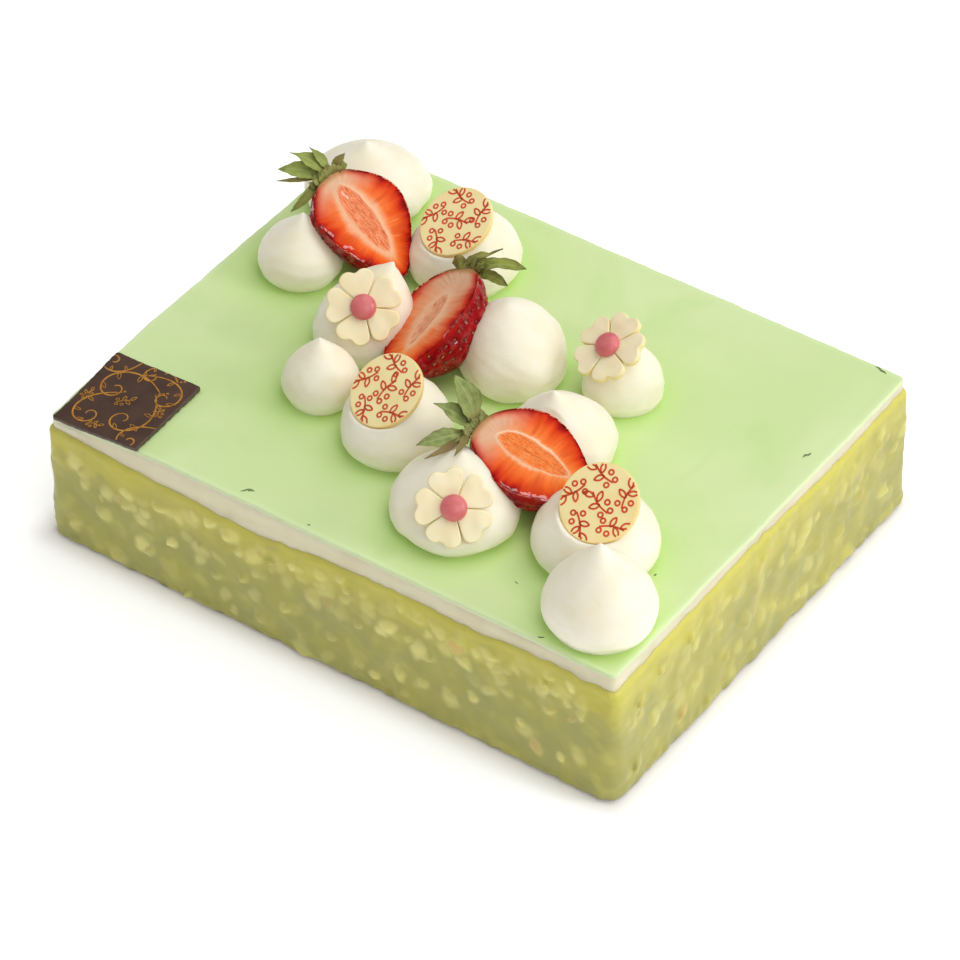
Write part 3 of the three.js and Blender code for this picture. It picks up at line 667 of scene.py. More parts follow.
ALONG = np.array([(1, 0), (0, 1), (-1, 0), (0, -1)], float)
OUTWARD = np.array([(0, -1), (1, 0), (0, 1), (-1, 0)], float)


def outline_columns(long_steps, short_steps, corner_steps):
    """Side number, share of the way along it, and turn round the corner after it, for each column."""
    columns = []
    for side in range(4):
        steps = (long_steps, short_steps)[side % 2]
        columns += [(side, step / steps, 0.0) for step in range(steps + 1)]
        columns += [(side, 1.0, step / corner_steps * math.pi / 2) for step in range(1, corner_steps)]
    side, share, turn = np.array(columns).T
    return side.astype(int), share, turn


def outline_points(columns, size, radius, stands_out, height):
    """Points on a rounded rectangle of the given size, which stands out by some amount at each point."""
    side, share, turn = columns
    span = np.array(size)[side % 2]
    depth = np.array(size)[(side + 1) % 2]
    along = (2 * share - 1) * (span / 2 + stands_out - radius) + radius * np.sin(turn)
    outward = depth / 2 + stands_out - radius + radius * np.cos(turn)
    along, outward, height = np.broadcast_arrays(along, outward, height)
    flat = ALONG[side] * along[..., None] + OUTWARD[side] * outward[..., None]
    return np.concatenate([flat, height[..., None]], -1)


def cream_outline(columns, stands_out, height):
    """Points on the outline of the cream and the glaze."""
    return outline_points(columns, (LENGTH, WIDTH), CREAM_CORNER, stands_out, height)


def coat_edge(side, share):
    """Height of the coating's upper edge."""
    edge = 0
    for number, bare in enumerate(BARE_CREAM):
        bare = np.array([*bare, BARE_CREAM[(number + 1) % 4][0]])
        place = np.asarray(share) * (len(bare) - 1)
        step = np.minimum(place.astype(int), len(bare) - 2)
        ease = (1 - np.cos((place - step) * math.pi)) / 2
        edge = np.where(side == number, HEIGHT - mix(bare[step], bare[step + 1], ease), edge)
    return edge


def coat_stands_out(share, edge, height):
    """How far the coating stands out from the cream's side, with its long ripples."""
    rise = np.maximum((height - FOOT_ROUNDING) / (edge - FOOT_ROUNDING), 0)
    wave = np.sin(share * 9 * math.pi + height / 7) + np.sin(share * 23 * math.pi - height / 5)
    return mix(COAT_FOOT, COAT_EDGE, rise) + COAT_RIPPLE / 2 * wave * np.sin(share * math.pi)


def corner_droop(points):
    """How far the top droops at the front left corner."""
    far = np.hypot(points[..., 0] + LENGTH / 2, points[..., 1] + WIDTH / 2)
    return CORNER_DROOP * np.exp(-((far / DROOP_REACH) ** 2))


# Distances round the cake: along each side, round a corner, and where each side starts.
SIDE_RUN = np.array([LENGTH, WIDTH, LENGTH, WIDTH]) - COAT_CORNER_FOOT
CORNER_RUN = 9.4
SIDE_START = np.concatenate([[0.0], np.cumsum(SIDE_RUN + CORNER_RUN)])
ROUND = SIDE_START[4]


def way_round(side, share, turn):
    """Distance round the cake from the start of the front side."""
    return SIDE_START[side] + share * SIDE_RUN[side] + turn * COAT_CORNER_FOOT


def chopped_nuts():
    """The CAD model's pieces of nut, and smaller ones between them. Each is its distance round the
    cake, height, half length, half width, tilt, how far it stands out, how pale and how ruddy."""
    draw = seeded_random(NUT_SEED)
    nuts = []
    for side, count in enumerate(NUTS_PER_SIDE):
        span = (LENGTH, WIDTH)[side % 2]
        for i in range(count):
            share = 0.02 + 0.96 * (i + 0.2 + 0.6 * next(draw)) / count
            half_length = mix(*NUT_HALF_LENGTH, next(draw) ** 1.3)
            half_width = half_length * mix(0.6, 0.95, next(draw))
            stands_out = mix(*NUT_STANDS_OUT, next(draw))
            highest = coat_edge(side, share) - half_length - 0.5
            height = mix(half_length + 0.5, highest, (i * GOLDEN_SHARE + 0.25 * next(draw)) % 1)
            along = (2 * share - 1) * (span / 2 + COAT_FOOT - COAT_CORNER_FOOT) + SIDE_RUN[side] / 2
            tilt = next(draw) * math.pi
            nuts.append((SIDE_START[side] + along, height, half_length, half_width, tilt, stands_out))

    # Smaller ones all round, most of them a little below the edge, and some close to the last one.
    rng = np.random.default_rng(77)
    share = 0.5
    for number in range(330):
        side = number % 4
        share = rng.uniform(0, 1) if rng.uniform() < 0.6 else np.clip(share + rng.uniform(-0.03, 0.03), 0, 1)
        edge = coat_edge(side, share)
        height = edge - rng.uniform(5, 19) if rng.uniform() < 0.6 else rng.uniform(2, edge - 5)
        half_length = rng.uniform(1.1, 2.9)
        half_width = half_length * rng.uniform(0.6, 0.95)
        stands_out = rng.uniform(0.1, 0.55)
        place = SIDE_START[side] + share * SIDE_RUN[side]
        nuts.append((place, height, half_length, half_width, rng.uniform(0, math.pi), stands_out))

    # More right below the edge of the front side.
    for number in range(34):
        share = 0.28 + 0.68 * (number + rng.uniform(0, 1)) / 34
        half_length = rng.uniform(1.2, 2.9)
        half_width = half_length * rng.uniform(0.65, 0.95)
        height = coat_edge(0, share) - rng.uniform(3.2, 11.5)
        tilt, stands_out = rng.uniform(0, math.pi), rng.uniform(0.35, 0.75)
        nuts.append((share * SIDE_RUN[0], height, half_length, half_width, tilt, stands_out))

    looks = rng.uniform(0, 1, (len(nuts), 2))
    return [
        (*nut, (0.25 + 0.75 * pale**1.5) * min(nut[5] + 0.35, 1), float(ruddy > 0.965))
        for nut, (pale, ruddy) in zip(nuts, looks)
    ]


def nut_relief(round_place, height):
    """How far nuts lift the coating, how pale they make it, and how ruddy, at each point."""
    lift, pale, ruddy = np.zeros((3, *height.shape))
    spots = np.stack([np.broadcast_to(round_place, height.shape), height], -1)
    warp = np.stack([0.35 * wobble(spots, 5, seed, 14) for seed in (81, 83)], -1)
    for place, level, half_length, half_width, tilt, stands_out, paleness, red in chopped_nuts():
        away = (round_place - place + ROUND / 2) % ROUND - ROUND / 2
        near = np.nonzero(np.abs(away) < 1.8 * half_length + 1)[0]
        off = np.stack([np.broadcast_to(away[near], (len(height), len(near))), height[:, near] - level], -1)
        q = ((turned(off + warp[:, near], tilt) / (half_length, half_width)) ** 2).sum(-1)
        dome = np.maximum(1 - q / 1.2**2, 0)
        halo = np.maximum(1 - q / 1.7**2, 0)
        lift[:, near] += (stands_out * dome**1.5) ** 3
        pale[:, near] = np.maximum(pale[:, near], paleness * smoothstep(0.0, 0.95, halo))
        ruddy[:, near] = np.maximum(ruddy[:, near], red * np.minimum(3 * dome, 1))
    return lift ** (1 / 3), pale, ruddy


def build_block():
    columns = outline_columns(300, 236, 9)
    side, share, _ = columns
    place = way_round(*columns)
    about = place * 2 * math.pi / ROUND
    line = np.stack([np.cos(about), np.sin(about)], -1) * ROUND / 2 / math.pi
    edge = coat_edge(side, share) + 0.3 * wobble(line, 9, 11) + 0.15 * wobble(line, 4, 12)

    # Rings from the foot to the lip: height, how far set in, and the share of the coat's thickness.
    lip = 2.4
    rows = []
    for a in np.linspace(0, 1.45, 7):
        level = np.full(edge.shape, FOOT_ROUNDING * (1 - math.cos(a)))
        rows.append((level, FOOT_ROUNDING * (1 - math.sin(a)), 1.0))
    for rise in np.linspace(0, 1, 56):
        rows.append((mix(FOOT_ROUNDING, edge - lip, rise), 0.0, 1.0))
    for a in np.linspace(0.2, math.pi / 2, 8):
        rows.append((edge - lip * (1 - math.sin(a)), 0.0, math.cos(a)))
    height = np.array([row[0] for row in rows])
    inset, thin = np.array([row[1:] for row in rows]).T[..., None]

    corner = mix(COAT_CORNER_FOOT, COAT_CORNER_TOP, smoothstep(10, 44, height))
    lift, pale, ruddy = nut_relief(place, height)
    calm = smoothstep(0, 0.6, height) * smoothstep(0, 3, edge - height)
    spots = np.stack([np.broadcast_to(place, height.shape), height], -1)
    rough = 0.14 * wobble(spots, 13, 5, 16) + 0.06 * wobble(spots, 5, 6, 16)
    rough += 0.24 * smoothstep(12, 2, height) * wobble(spots, 4.5, 7, 16)
    # The spots start anew at the front left corner, so they fade out there.
    seam = np.minimum(np.minimum(place, ROUND - place) / 4, 1)
    # The lip ends a little inside the cream's side.
    inside = 0.35
    stands_out = (coat_stands_out(share, edge, height) + inside) * thin - inside - inset
    stands_out += calm * (lift + rough * seam)
    rings = outline_points(columns, (LENGTH, WIDTH), corner, stands_out, height)
    tuck = cream_outline(columns, -0.8, edge - 0.3)
    floor = cream_outline(columns, -GAP - 0.5, RECESS_FLOOR)
    rings = np.concatenate([rings, [tuck, floor]])
    low, high = np.array(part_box("coated_base"))[:, :2] / MM
    rings[..., :2] = np.clip(rings[..., :2], low, high)

    clear = mix(1.0, 0.6, smoothstep(SIDE_START[1] - 4, SIDE_START[1], place) * (place < SIDE_START[2]))
    values = {"nut": pale * calm * clear, "ruddy": ruddy, "below_edge": edge - height}
    values = {key: with_ends(np.vstack([grid, grid[-1:], grid[-1:]])) for key, grid in values.items()}
    add_piece("coating", *closed_loft(rings), [coating_look()], "nut_coating", "coated_base", values)


def cream_sway(points):
    """How far the bare cream's side stands out from its even outline."""
    return 0.12 * wobble(points * (1, 1, 3), 16, 21) + 0.06 * wobble(points * (1, 1, 2), 4, 22)


def build_cream():
    columns = outline_columns(200, 156, 5)
    top = HEIGHT - GLAZE_THICKNESS
    heights = np.linspace(RECESS_FLOOR + GAP, top, 16)[:, None]
    sway = cream_sway(cream_outline(columns, 0.0, heights))
    side = cream_outline(columns, sway, heights)
    side[..., 2] -= corner_droop(side) * (heights - RECESS_FLOOR) / (top - RECESS_FLOOR)
    inner = cream_outline(columns, -np.array([3, 10, 22, 40, 70])[:, None], top)
    inner[..., 2] -= corner_droop(inner)
    look = cream_look("cream_layer", rgb(232, 222, 188), rgb(226, 214, 178), 0.25)
    add_piece("cream_band", *closed_loft(np.concatenate([side, inner])), [look], "cream", "cream_layer")


def build_glaze():
    columns = outline_columns(260, 200, 6)
    underside = HEIGHT - GLAZE_THICKNESS
    rounding = 0.55
    profile = [(set_back, underside) for set_back in (78, 40, 16, 4, 0.5)]
    profile += [(0.3, underside - 0.15), (0.0, underside - 0.12), (0.0, underside + 0.1)]
    for a in np.linspace(0, math.pi / 2, 5):
        profile.append((rounding * (1 - math.cos(a)), HEIGHT - rounding * (1 - math.sin(a))))
    profile += [(set_back, HEIGHT) for set_back in (1.0, 1.7, 2.6, 4, 6, *np.arange(8.5, 77, 2.5))]
    side = cream_outline(columns, 0.0, underside)
    flush = cream_sway(side) + 0.06
    ragged = flush + 0.05 * wobble(side, 9, 31) + 0.06 * wobble(side, 2.6, 32)
    rings, rims, walls, painted_kiss_shades = [], [], [], []
    for set_back, height in profile:
        shift = (flush if height < underside + 0.1 else ragged) * math.exp(-set_back / 1.5)
        ring = cream_outline(columns, shift - set_back, height)
        flat = ring[..., :2].copy()
        if height > underside + 0.4:
            ring[..., 2] += 0.12 * wobble(flat, 55, 33) * smoothstep(0, 12, set_back)
        ring[..., 2] -= corner_droop(ring)
        # How near each point is to a kiss's foot, for the painted shade round the kisses.
        away = [np.hypot(*(flat - at).T) - 0.88 * radius for _, at, radius, *_ in KISSES]
        rings.append(ring)
        rims.append(np.full(len(flat), float(set_back)))
        walls.append(np.full(len(flat), float(height < HEIGHT - 0.45)))
        painted_kiss_shades.append(np.exp(-np.maximum(np.min(away, 0), 0) / 7.0))
    points, faces = closed_loft(np.array(rings))
    points[:, 2] = np.minimum(points[:, 2], HEIGHT + 0.25)
    values = {"rim": rims, "wall": walls, "painted_kiss_shade": painted_kiss_shades}
    values = {key: with_ends(np.array(rows)) for key, rows in values.items()}
    add_piece("glaze_top", points, faces, [glaze_look()], "glaze", "glaze", values)


# ---------------------------------------------------------------- piped cream


def kiss_curve(point, count):
    """Outline of a kiss from its foot to its tip, as shares of the radius and of the height."""
    curve = np.stack([mix(np.array(ROUND_KISS), POINTED_KISS, point), KISS_SHARES], -1)
    side, tip = curve[-2:]
    beyond = mix(side * (-1, 1), 2 * tip - side, point**2)
    return even_steps(spline(curve, 12 * count, last=beyond), count)


def press_in(points, placed, radius, thickness):
    """Moves cream back from where a round topping is pressed into it, with a low ridge round it."""
    local = from_cake(placed, points)
    far = np.hypot(local[..., 0], local[..., 1])
    proud = local[..., 2] + thickness + 0.05
    under = 1 - smoothstep(radius - 0.3, radius + 1.0, far)
    ridge = np.exp(-(((far - radius - 1.2) / 1.1) ** 2))
    ridge *= smoothstep(-2.5, 1.0, proud) * smoothstep(8, 3, proud)
    local[..., 2] += np.where(proud > 0, -proud * under, 0) + 0.3 * ridge
    return to_cake(placed, local)


def lie_under(points, berry):
    """Keeps cream below the cut face of a strawberry half that lies against it."""
    placed = placing(berry["at"], berry["face"], berry["axis"])
    local = from_cake(placed, points)
    along, aside, level = np.moveaxis(local, -1, 0)
    curve = berry_curve(berry, 90)
    left, right = (np.interp(along, curve[:, 0], curve[:, k], left=0, right=0) for k in (1, 2))
    margin = np.where(aside > 0, left, right) + BERRY_SWELL + 0.4 - np.abs(aside)
    under = smoothstep(0, 0.5, margin) * (np.abs(along) < berry["length"] / 2)
    local[..., 2] = mix(level, np.minimum(level, -0.5), under)
    return to_cake(placed, local)


def build_kisses(look):
    pressed = {kiss: (placing(at, face), DISC_RADIUS, DISC_THICKNESS) for _, at, face, kiss in DISCS}
    for _, at, face, _, kiss in FLOWERS:
        pressed[kiss] = (placing(at, face), FLOWER_RADIUS * 0.97, FLOWER_THICKNESS)
    angle = np.linspace(0, 2 * math.pi, 112, endpoint=False)
    for number, (name, at, radius, height, pull, point) in enumerate(KISSES):
        curve = kiss_curve(point, 64)
        out = curve[:, :1] * radius * (1 + 0.02 * np.sin(2 * angle + at[0]))
        peak, beside = PEAKS.get(name, (0.0, (0.0, 0.0)))
        level = curve[:, 1:] * (height - 0.8 * peak) + peak * np.exp(-out / 2.2)
        level = np.minimum(level, height)
        points = np.stack([out * np.cos(angle), out * np.sin(angle), level], -1)
        points[..., :2] += np.maximum(level / height, 0)[..., None] ** 2.5 * np.add(pull, beside)
        soft = 0.3 * wobble(points, 17, 100 + number) + 0.1 * wobble(points * (1, 1, 1.8), 6, 140 + number)
        swirl = 0.07 * np.sin(level * 2.1 + 1.5 * np.sin(angle + number))
        swirl *= smoothstep(0.4, 0.05, level / height)
        grow = 1 + (soft + swirl) / radius * smoothstep(0, 0.15, curve[:, :1])
        points[..., :2] *= grow[..., None]
        points += (*at, HEIGHT)
        if name in pressed:
            points = press_in(points, *pressed[name])
        # The right strawberry half lies against this one.
        if name == "kiss_middle_right":
            points = lie_under(points, STRAWBERRIES[2])
        foot = points[:1] - (0, 0, 0.35)
        points, faces = closed_loft(np.concatenate([foot, points[:-1]]))
        points[-1, 2] += 0.02
        add_piece("piped_" + name, points, faces, [look], "kiss", name)


# ---------------------------------------------------------------- strawberries


def berry_curve(berry, count):
    """The cut face from the calyx to the tip: places along it, and its half widths on either side."""
    left, right = (np.array(widths) for widths in berry["half_widths"])
    places = (np.array(BERRY_SHARES) - 0.5) * berry["length"]
    curve = np.stack([places, left, right], -1)
    first, last = curve[1] * (1, -1, -1), curve[-2] * (1, -1, -1)
    return even_steps(spline(curve, 16 * count, first=first, last=last), count)


def skin_point(curve, angle, depth):
    """Points of a half's skin, at an angle of 0 to pi from one rim of the cut face to the other."""
    along, left, right = (curve[..., k] for k in range(3))
    radius = (left + right) / 2 + (left - right) / 2 * np.cos(angle)
    swell = BERRY_SWELL * smoothstep(0, 0.5, np.sin(angle)) * np.minimum((left + right) / 10, 1)
    reach = radius + swell
    along, reach = np.broadcast_arrays(along, reach)
    return np.stack([along, reach * np.cos(angle), -depth * reach * np.sin(angle)], -1)


def seed_places(curve, depth, number):
    """Places of the seeds on a half's skin, with the way outward from it."""
    rng = np.random.default_rng(300 + number)
    rows = int(np.linalg.norm(np.diff(curve[:, :2], axis=0), axis=1).sum() / 3.2)
    places = []
    for row in range(rows):
        share = 0.09 + 0.86 * row / (rows - 1)
        i = int(share * (len(curve) - 1))
        radius = curve[i, 1:].mean()
        count = max(int(round(math.pi * radius / 3.7)), 1)
        for k in range(count):
            angle = (k + (0.5 if row % 2 else 0.0) + 0.3 * rng.uniform(-1, 1)) / count * math.pi
            if 0.1 < angle < math.pi - 0.1:
                at, before, after = (skin_point(curve[j], np.array(angle), depth) for j in (i, i - 1, i + 1))
                beside = skin_point(curve[i], np.array(angle + 0.02), depth)
                normal = unit(np.cross(after - before, beside - at))
                places.append((at, normal if normal @ (at * (0.2, 1, 1)) > 0 else -normal))
    return places


def build_berry(number, berry, seed_material, skin_material, flesh_material):
    name, length, depth = berry["name"], berry["length"], berry["depth"]
    placed = placing(berry["at"], berry["face"], berry["axis"])
    curve = berry_curve(berry, 110)
    seeds = seed_places(curve, depth, number)

    # The skin, from one rim of the cut face round to the other.
    angle = np.linspace(0, math.pi, 120)
    skin = skin_point(curve[:, None], angle, depth)
    # Each seed sinks a pit, and how near a point is to a seed paints shade into its pit.
    pit_shade, sunk = np.zeros(skin.shape[:2]), np.zeros(skin.shape)
    for place, normal in seeds:
        near = np.exp(-((skin - place) ** 2).sum(-1))
        sunk -= near[..., None] * normal * 0.65
        pit_shade = np.maximum(pit_shade, near)
    swell = wobble(skin, 14, 320 + number) * 0.3 * np.minimum(3 * np.sin(angle), 1)
    outward = skin * (0.15, 1, 1)
    outward /= np.maximum(np.linalg.norm(outward, axis=-1, keepdims=True), 1e-6)
    skin = skin + sunk + outward * swell[..., None]
    collar = smoothstep(2.6, 0.6, skin[..., 0] + length / 2 + 0.8 * wobble(skin, 2.5, 360 + number))

    # The cut face, in rings from its rim to its core line.
    rim = np.concatenate([curve[:, :2], curve[-2:0:-1, [0, 2]] * (1, -1)])
    core_along, core_aside, core_half_length, core_half_width, bluntness = berry["core"]
    core = np.stack([0.68 * rim[:, 0] - 0.02 * length, np.full(len(rim), core_aside)], -1)
    run = np.cumsum(np.linalg.norm(np.diff(rim, axis=0, append=rim[:1]), axis=1))
    out, run = np.broadcast_arrays(np.linspace(1, 0, 40)[:, None], run)
    flat = core + out[..., None] * (rim - core)
    along, aside = flat[..., 0] - core_along, flat[..., 1] - core_aside
    onward = along / core_half_length
    beside = aside / (core_half_width * np.maximum(1 - bluntness * onward, 0.3))
    core_off = np.hypot(along, aside) * (1 - 1 / np.maximum(np.hypot(onward, beside), 0.05))
    streaks = wobble(np.stack([run, 2 * out], -1), 2.4, 340 + number)
    streaks *= smoothstep(0.1, 0.4, out) * smoothstep(1, 0.9, out)
    relief = 0.3 - 0.3 * out**2 - 0.4 * smoothstep(0.93, 1.0, out)
    relief += 0.1 * streaks + 0.08 * wobble(flat, 5, 350 + number)
    relief += 0.1 * np.exp(-(((core_off - 0.2) / 0.8) ** 2)) - 0.25 * smoothstep(0.0, -2.4, core_off)
    relief[0] = 0
    wet = np.zeros(out.shape)
    for start, end, half_width in berry["wet"]:
        way = np.subtract(end, start)
        share = np.clip((flat - start) @ way / (way @ way), 0, 1)
        far = np.linalg.norm(flat - start - share[..., None] * way, axis=-1)
        wet = np.maximum(wet, smoothstep(1.8, 0.4, far / half_width))

    flesh = np.stack([out, run, flat[..., 0] / length + 0.5], -1)
    values = {"flesh": np.vstack([np.zeros((pit_shade.size, 3)), flesh.reshape(-1, 3)])}
    for key, numbers in {"aside": flat[..., 1], "core_off": core_off, "wet": wet}.items():
        values[key] = np.append(np.zeros(pit_shade.size), numbers)
    for key, numbers in {"pit_shade": pit_shade, "skin_rim": -skin[..., 2], "collar": collar}.items():
        values[key] = np.append(numbers, np.zeros(wet.size))
    skin_grid = (skin.reshape(-1, 3), grid_faces(*pit_shade.shape, wrap=False))
    cut_grid = (np.concatenate([flat, relief[..., None]], -1).reshape(-1, 3), grid_faces(*wet.shape))
    points, faces = join([skin_grid, cut_grid])
    faces = [face[::-1] for face in faces]
    materials = [skin_material, flesh_material]
    uses = np.arange(len(faces)) >= len(skin_grid[1])
    add_piece(
        "berry_" + name, to_cake(placed, points), faces, materials,
        "strawberry", "strawberry_" + name, values, uses, weld=True, sharp=50,
    )

    grains = []
    for place, normal in seeds:
        x = unit(np.array([1.0, 0, 0]) - normal * normal[0])
        axes = np.stack([x, np.cross(normal, x), normal])
        grains.append(ellipsoid(place - 0.5 * normal, axes, (0.66, 0.4, 0.3), 6, 8))
    points, faces = join(grains)
    add_piece("seeds_" + name, to_cake(placed, points), faces, [seed_material], "strawberry")


def ellipsoid(centre, axes, half_size, rows, columns):
    turn = np.linspace(-math.pi / 2, math.pi / 2, rows + 2)[1:-1]
    points, faces = closed_loft(round_rings(zip(np.cos(turn), np.sin(turn)), columns))
    points[-2:] = ((0, 0, -1), (0, 0, 1))
    return points * half_size @ axes + centre, faces


# ---------------------------------------------------------------- leaves

LEAF_OUTLINE = [(0, 0.42), (0.16, 0.72), (0.34, 0.97), (0.6, 0.92), (0.82, 0.52), (1, 0.03)]


def leaf_body(start, end, width, bend, seed, dryness):
    """A leaf, with its values along it (0 to 1), across it (-1 to 1) and its dryness."""
    twist = np.random.default_rng(seed).uniform(-0.35, 0.35)
    start = np.array(start, float)
    length = np.linalg.norm(end - start)
    along = unit(end - start)
    across = -unit(np.cross(along, (0, 0, 1)))
    over = np.cross(along, across)
    # Once round a leaf: across its upper side and back along its lower one.
    spread = np.append(np.linspace(-1, 1, 9), np.linspace(1, -1, 9)[1:-1])[:, None]
    side = np.repeat((1, -1), (9, 7))[:, None]
    thick = 0.3 * (1 - 0.75 * np.abs(spread)) + 0.12 * np.exp(-((spread / 0.16) ** 2))
    rings, values = [], []
    for share, wide in spline(LEAF_OUTLINE, 30):
        half = width / 2 * wide * (1 + 0.05 * math.sin(share * 31 + seed))
        arch = over * bend + across * 0.06 * length * math.sin(seed)
        middle = start + along * share * length + arch * math.sin(share * math.pi)
        turn = twist * share
        sideways = across * math.cos(turn) + over * math.sin(turn)
        upward = over * math.cos(turn) - across * math.sin(turn)
        wave = 0.08 * width * math.sin(share * 3 * math.pi)
        lift = 0.25 * half * (np.abs(spread) ** 1.4 - 0.8) + wave * spread * np.abs(spread) + side * thick / 2
        rings.append(middle + sideways * half * spread + upward * lift)
        values += [(share, v, dryness) for v in spread[:, 0]]
    points, faces = closed_loft(np.array(rings))
    values = np.vstack([values, (0, 0, dryness), (1, 0, dryness)])
    # Rings that run this way round face inward, so each face is turned over.
    return points, [face[::-1] for face in faces], values


def build_calyx(number, berry, look):
    name = berry["name"]
    bodies = [leaf_body(*leaf, 500 + 10 * number + i, dry) for i, (*leaf, dry) in enumerate(berry["leaves"])]
    rng = np.random.default_rng(560 + number)
    middle, spread = berry["collar"]
    for frill in range(20):
        share = (frill % 10 + rng.uniform(0.2, 0.8)) / 5 - 1
        start = np.array([0.9 * share**2, middle + share * spread, -0.7 if frill < 10 else -2.2])
        way = np.array([rng.uniform(-1.2, -0.5), 0.7 * share + rng.uniform(-0.5, 0.5), rng.uniform(0.1, 0.7)])
        end = start + unit(way) * rng.uniform(2.6, 4.4)
        bodies.append(leaf_body(start, end, rng.uniform(1.9, 3.0), 0.5, 570 + frill, rng.uniform(0.1, 0.6)))
    points, faces = ellipsoid((-1.5, 0, -1.8), np.eye(3), (1.5, 4.2, 2.2), 16, 26)
    points = points + 0.3 * wobble(points, 2.6, 580 + number)[:, None] * unit([-1, 0, 0.4])
    bodies.append((points, faces, np.tile((0.1, 0.5, 0.35), (len(points), 1))))
    points, faces, values = join(bodies)
    points = to_cake(placing(berry["at"], berry["face"], berry["axis"]), points - (berry["length"] / 2, 0, 0))
    add_piece("leaves_" + name, points, faces, [look], "leaf", "calyx_" + name, {"leaf": values}, sharp=80)


# ---------------------------------------------------------------- flowers, discs and plaque


def distance_to(points, line):
    """Shortest distance from each flat point to a closed line."""
    a, b = line, np.roll(line, -1, 0)
    way = b - a
    best = np.full(len(points), np.inf)
    for start, step in zip(a, way):
        off = points - start
        share = np.clip(off @ step / max(step @ step, 1e-9), 0, 1)
        best = np.minimum(best, np.hypot(*(off - share[:, None] * step).T))
    return best


def petal_outline(turn):
    """The angle and reach of a flower's edge, with close points at the slits between its petals."""
    half = spline(PETAL_EDGE, 45, first=(-0.1, 0.92))
    petal = np.vstack([half[:0:-1] * (-1, 1), half[:-1]])
    petal_angle = 2 * math.pi / PETALS
    middles = math.radians(turn) + np.arange(PETALS)[:, None] * petal_angle
    angle = middles + petal[:, 0] * petal_angle / 2
    reach = np.broadcast_to(petal[:, 1] * FLOWER_RADIUS, angle.shape)
    return angle.ravel(), reach.ravel()


def build_flower(number, flower, petal_look, centre_look):
    name, at, face, turn, _ = flower
    placed = placing(at, face)
    angle, reach = petal_outline(turn)
    rounding = 0.5
    shares = np.array([*np.linspace(0.12, 0.9, 16), 0.94, 0.965, 0.985, 1.0])
    edge = np.stack([np.cos(angle), np.sin(angle)], -1) * reach[:, None]
    flat = shares[:, None, None] * edge
    near = distance_to(flat.reshape(-1, 2), edge).reshape(len(shares), -1)
    near[-1] = 0
    drop = rounding * (1 - np.sqrt(1 - np.clip(1 - near / rounding, 0, 1) ** 2))
    level = 0.12 * wobble(flat, 7, 400 + number) - drop
    wall = ((0.3, -2), (0.97, -2), (0.997, -1.75), (1, -1.2))
    wall = [np.column_stack([edge * share, np.full(len(edge), z)]) for share, z in wall]
    top = np.concatenate([flat, level[..., None]], -1)
    points, faces = closed_loft(np.array([*wall, *top[::-1]]))
    rim = with_ends(np.vstack([np.zeros((len(wall), len(edge))), near[::-1]]))
    add_piece(
        "petals_" + name, to_cake(placed, points), faces, [petal_look],
        "flower", "flower_" + name, {"rim": rim}, sharp=70,
    )

    profile = []
    for a in np.linspace(-0.5, math.pi / 2, 16)[:-1]:
        z = 0.9 + (FLOWER_CENTRE_HEIGHT - 1.0) * math.sin(a)
        profile.append((FLOWER_CENTRE_RADIUS * math.cos(a) ** 0.85, max(z, 0.02)))
    points, faces = closed_loft(round_rings(profile, 48))
    node = "flower_centre_" + name
    add_piece("button_" + name, to_cake(placed, points), faces, [centre_look], "flower_centre", node)


def ribbon(path, width, thickness):
    """A thin flat strip along a path of flat points, a little above the level 0."""
    way = np.gradient(path, axis=0)
    way /= np.maximum(np.linalg.norm(way, axis=1, keepdims=True), 1e-9)
    side = np.stack([-way[:, 1], way[:, 0]], -1) * np.reshape(width, (-1, 1)) / 2
    corners = ((path + side, -0.02), (path - side, -0.02), (path - side, thickness), (path + side, thickness))
    return closed_loft(np.stack([np.column_stack([line, np.full(len(line), z)]) for line, z in corners], 1))


def ribbons(path, count, inside, width, thickness, swelling=False):
    """Ribbons along the stretches of a path that lie inside, where they are four points long or more."""
    fine = even_steps(path, count)
    kept = inside(fine)
    cuts = np.nonzero(np.diff(kept))[0] + 1
    found = []
    for run, keep in zip(np.split(fine, cuts), np.split(kept, cuts)):
        if keep[0] and len(run) >= 4:
            swell = 0.6 + 0.6 * np.sin(np.linspace(0.2, math.pi - 0.2, len(run))) if swelling else 1.0
            found.append(ribbon(run, width * swell, thickness))
    return found


def circle(at, radius, count=28):
    angle = np.linspace(0, 2 * math.pi, count + 1)
    return np.stack([np.cos(angle), np.sin(angle)], -1) * radius + at


def leaf_line(start, angle, length, width):
    """The closed outline of a small pointed leaf."""
    share = np.linspace(0, 1, 17)
    half = width / 2 * np.sin(share * math.pi) ** 0.8
    upper = np.stack([share * length, half], -1)
    return turned(np.concatenate([upper, upper[::-1] * (1, -1)]), angle) + start


def sprig(at, angle, size):
    """A printed motif: a short stalk with three leaves and three berries."""
    share = np.linspace(0, 1, 22)
    paths = [np.stack([share * 5.6 - 2.8, 0.5 * np.sin(share * math.pi)], -1)]
    paths += [leaf_line((x, 0.35), way, 2.3, 1.05) for x, way in ((-0.4, 1.15), (0.5, -1.05), (1.9, 0.55))]
    paths += [circle(place, 0.52) for place in ((-2.2, 1.35), (-2.7, -0.75), (-0.9, -1.25))]
    return [turned(path * size, angle) + at for path in paths]


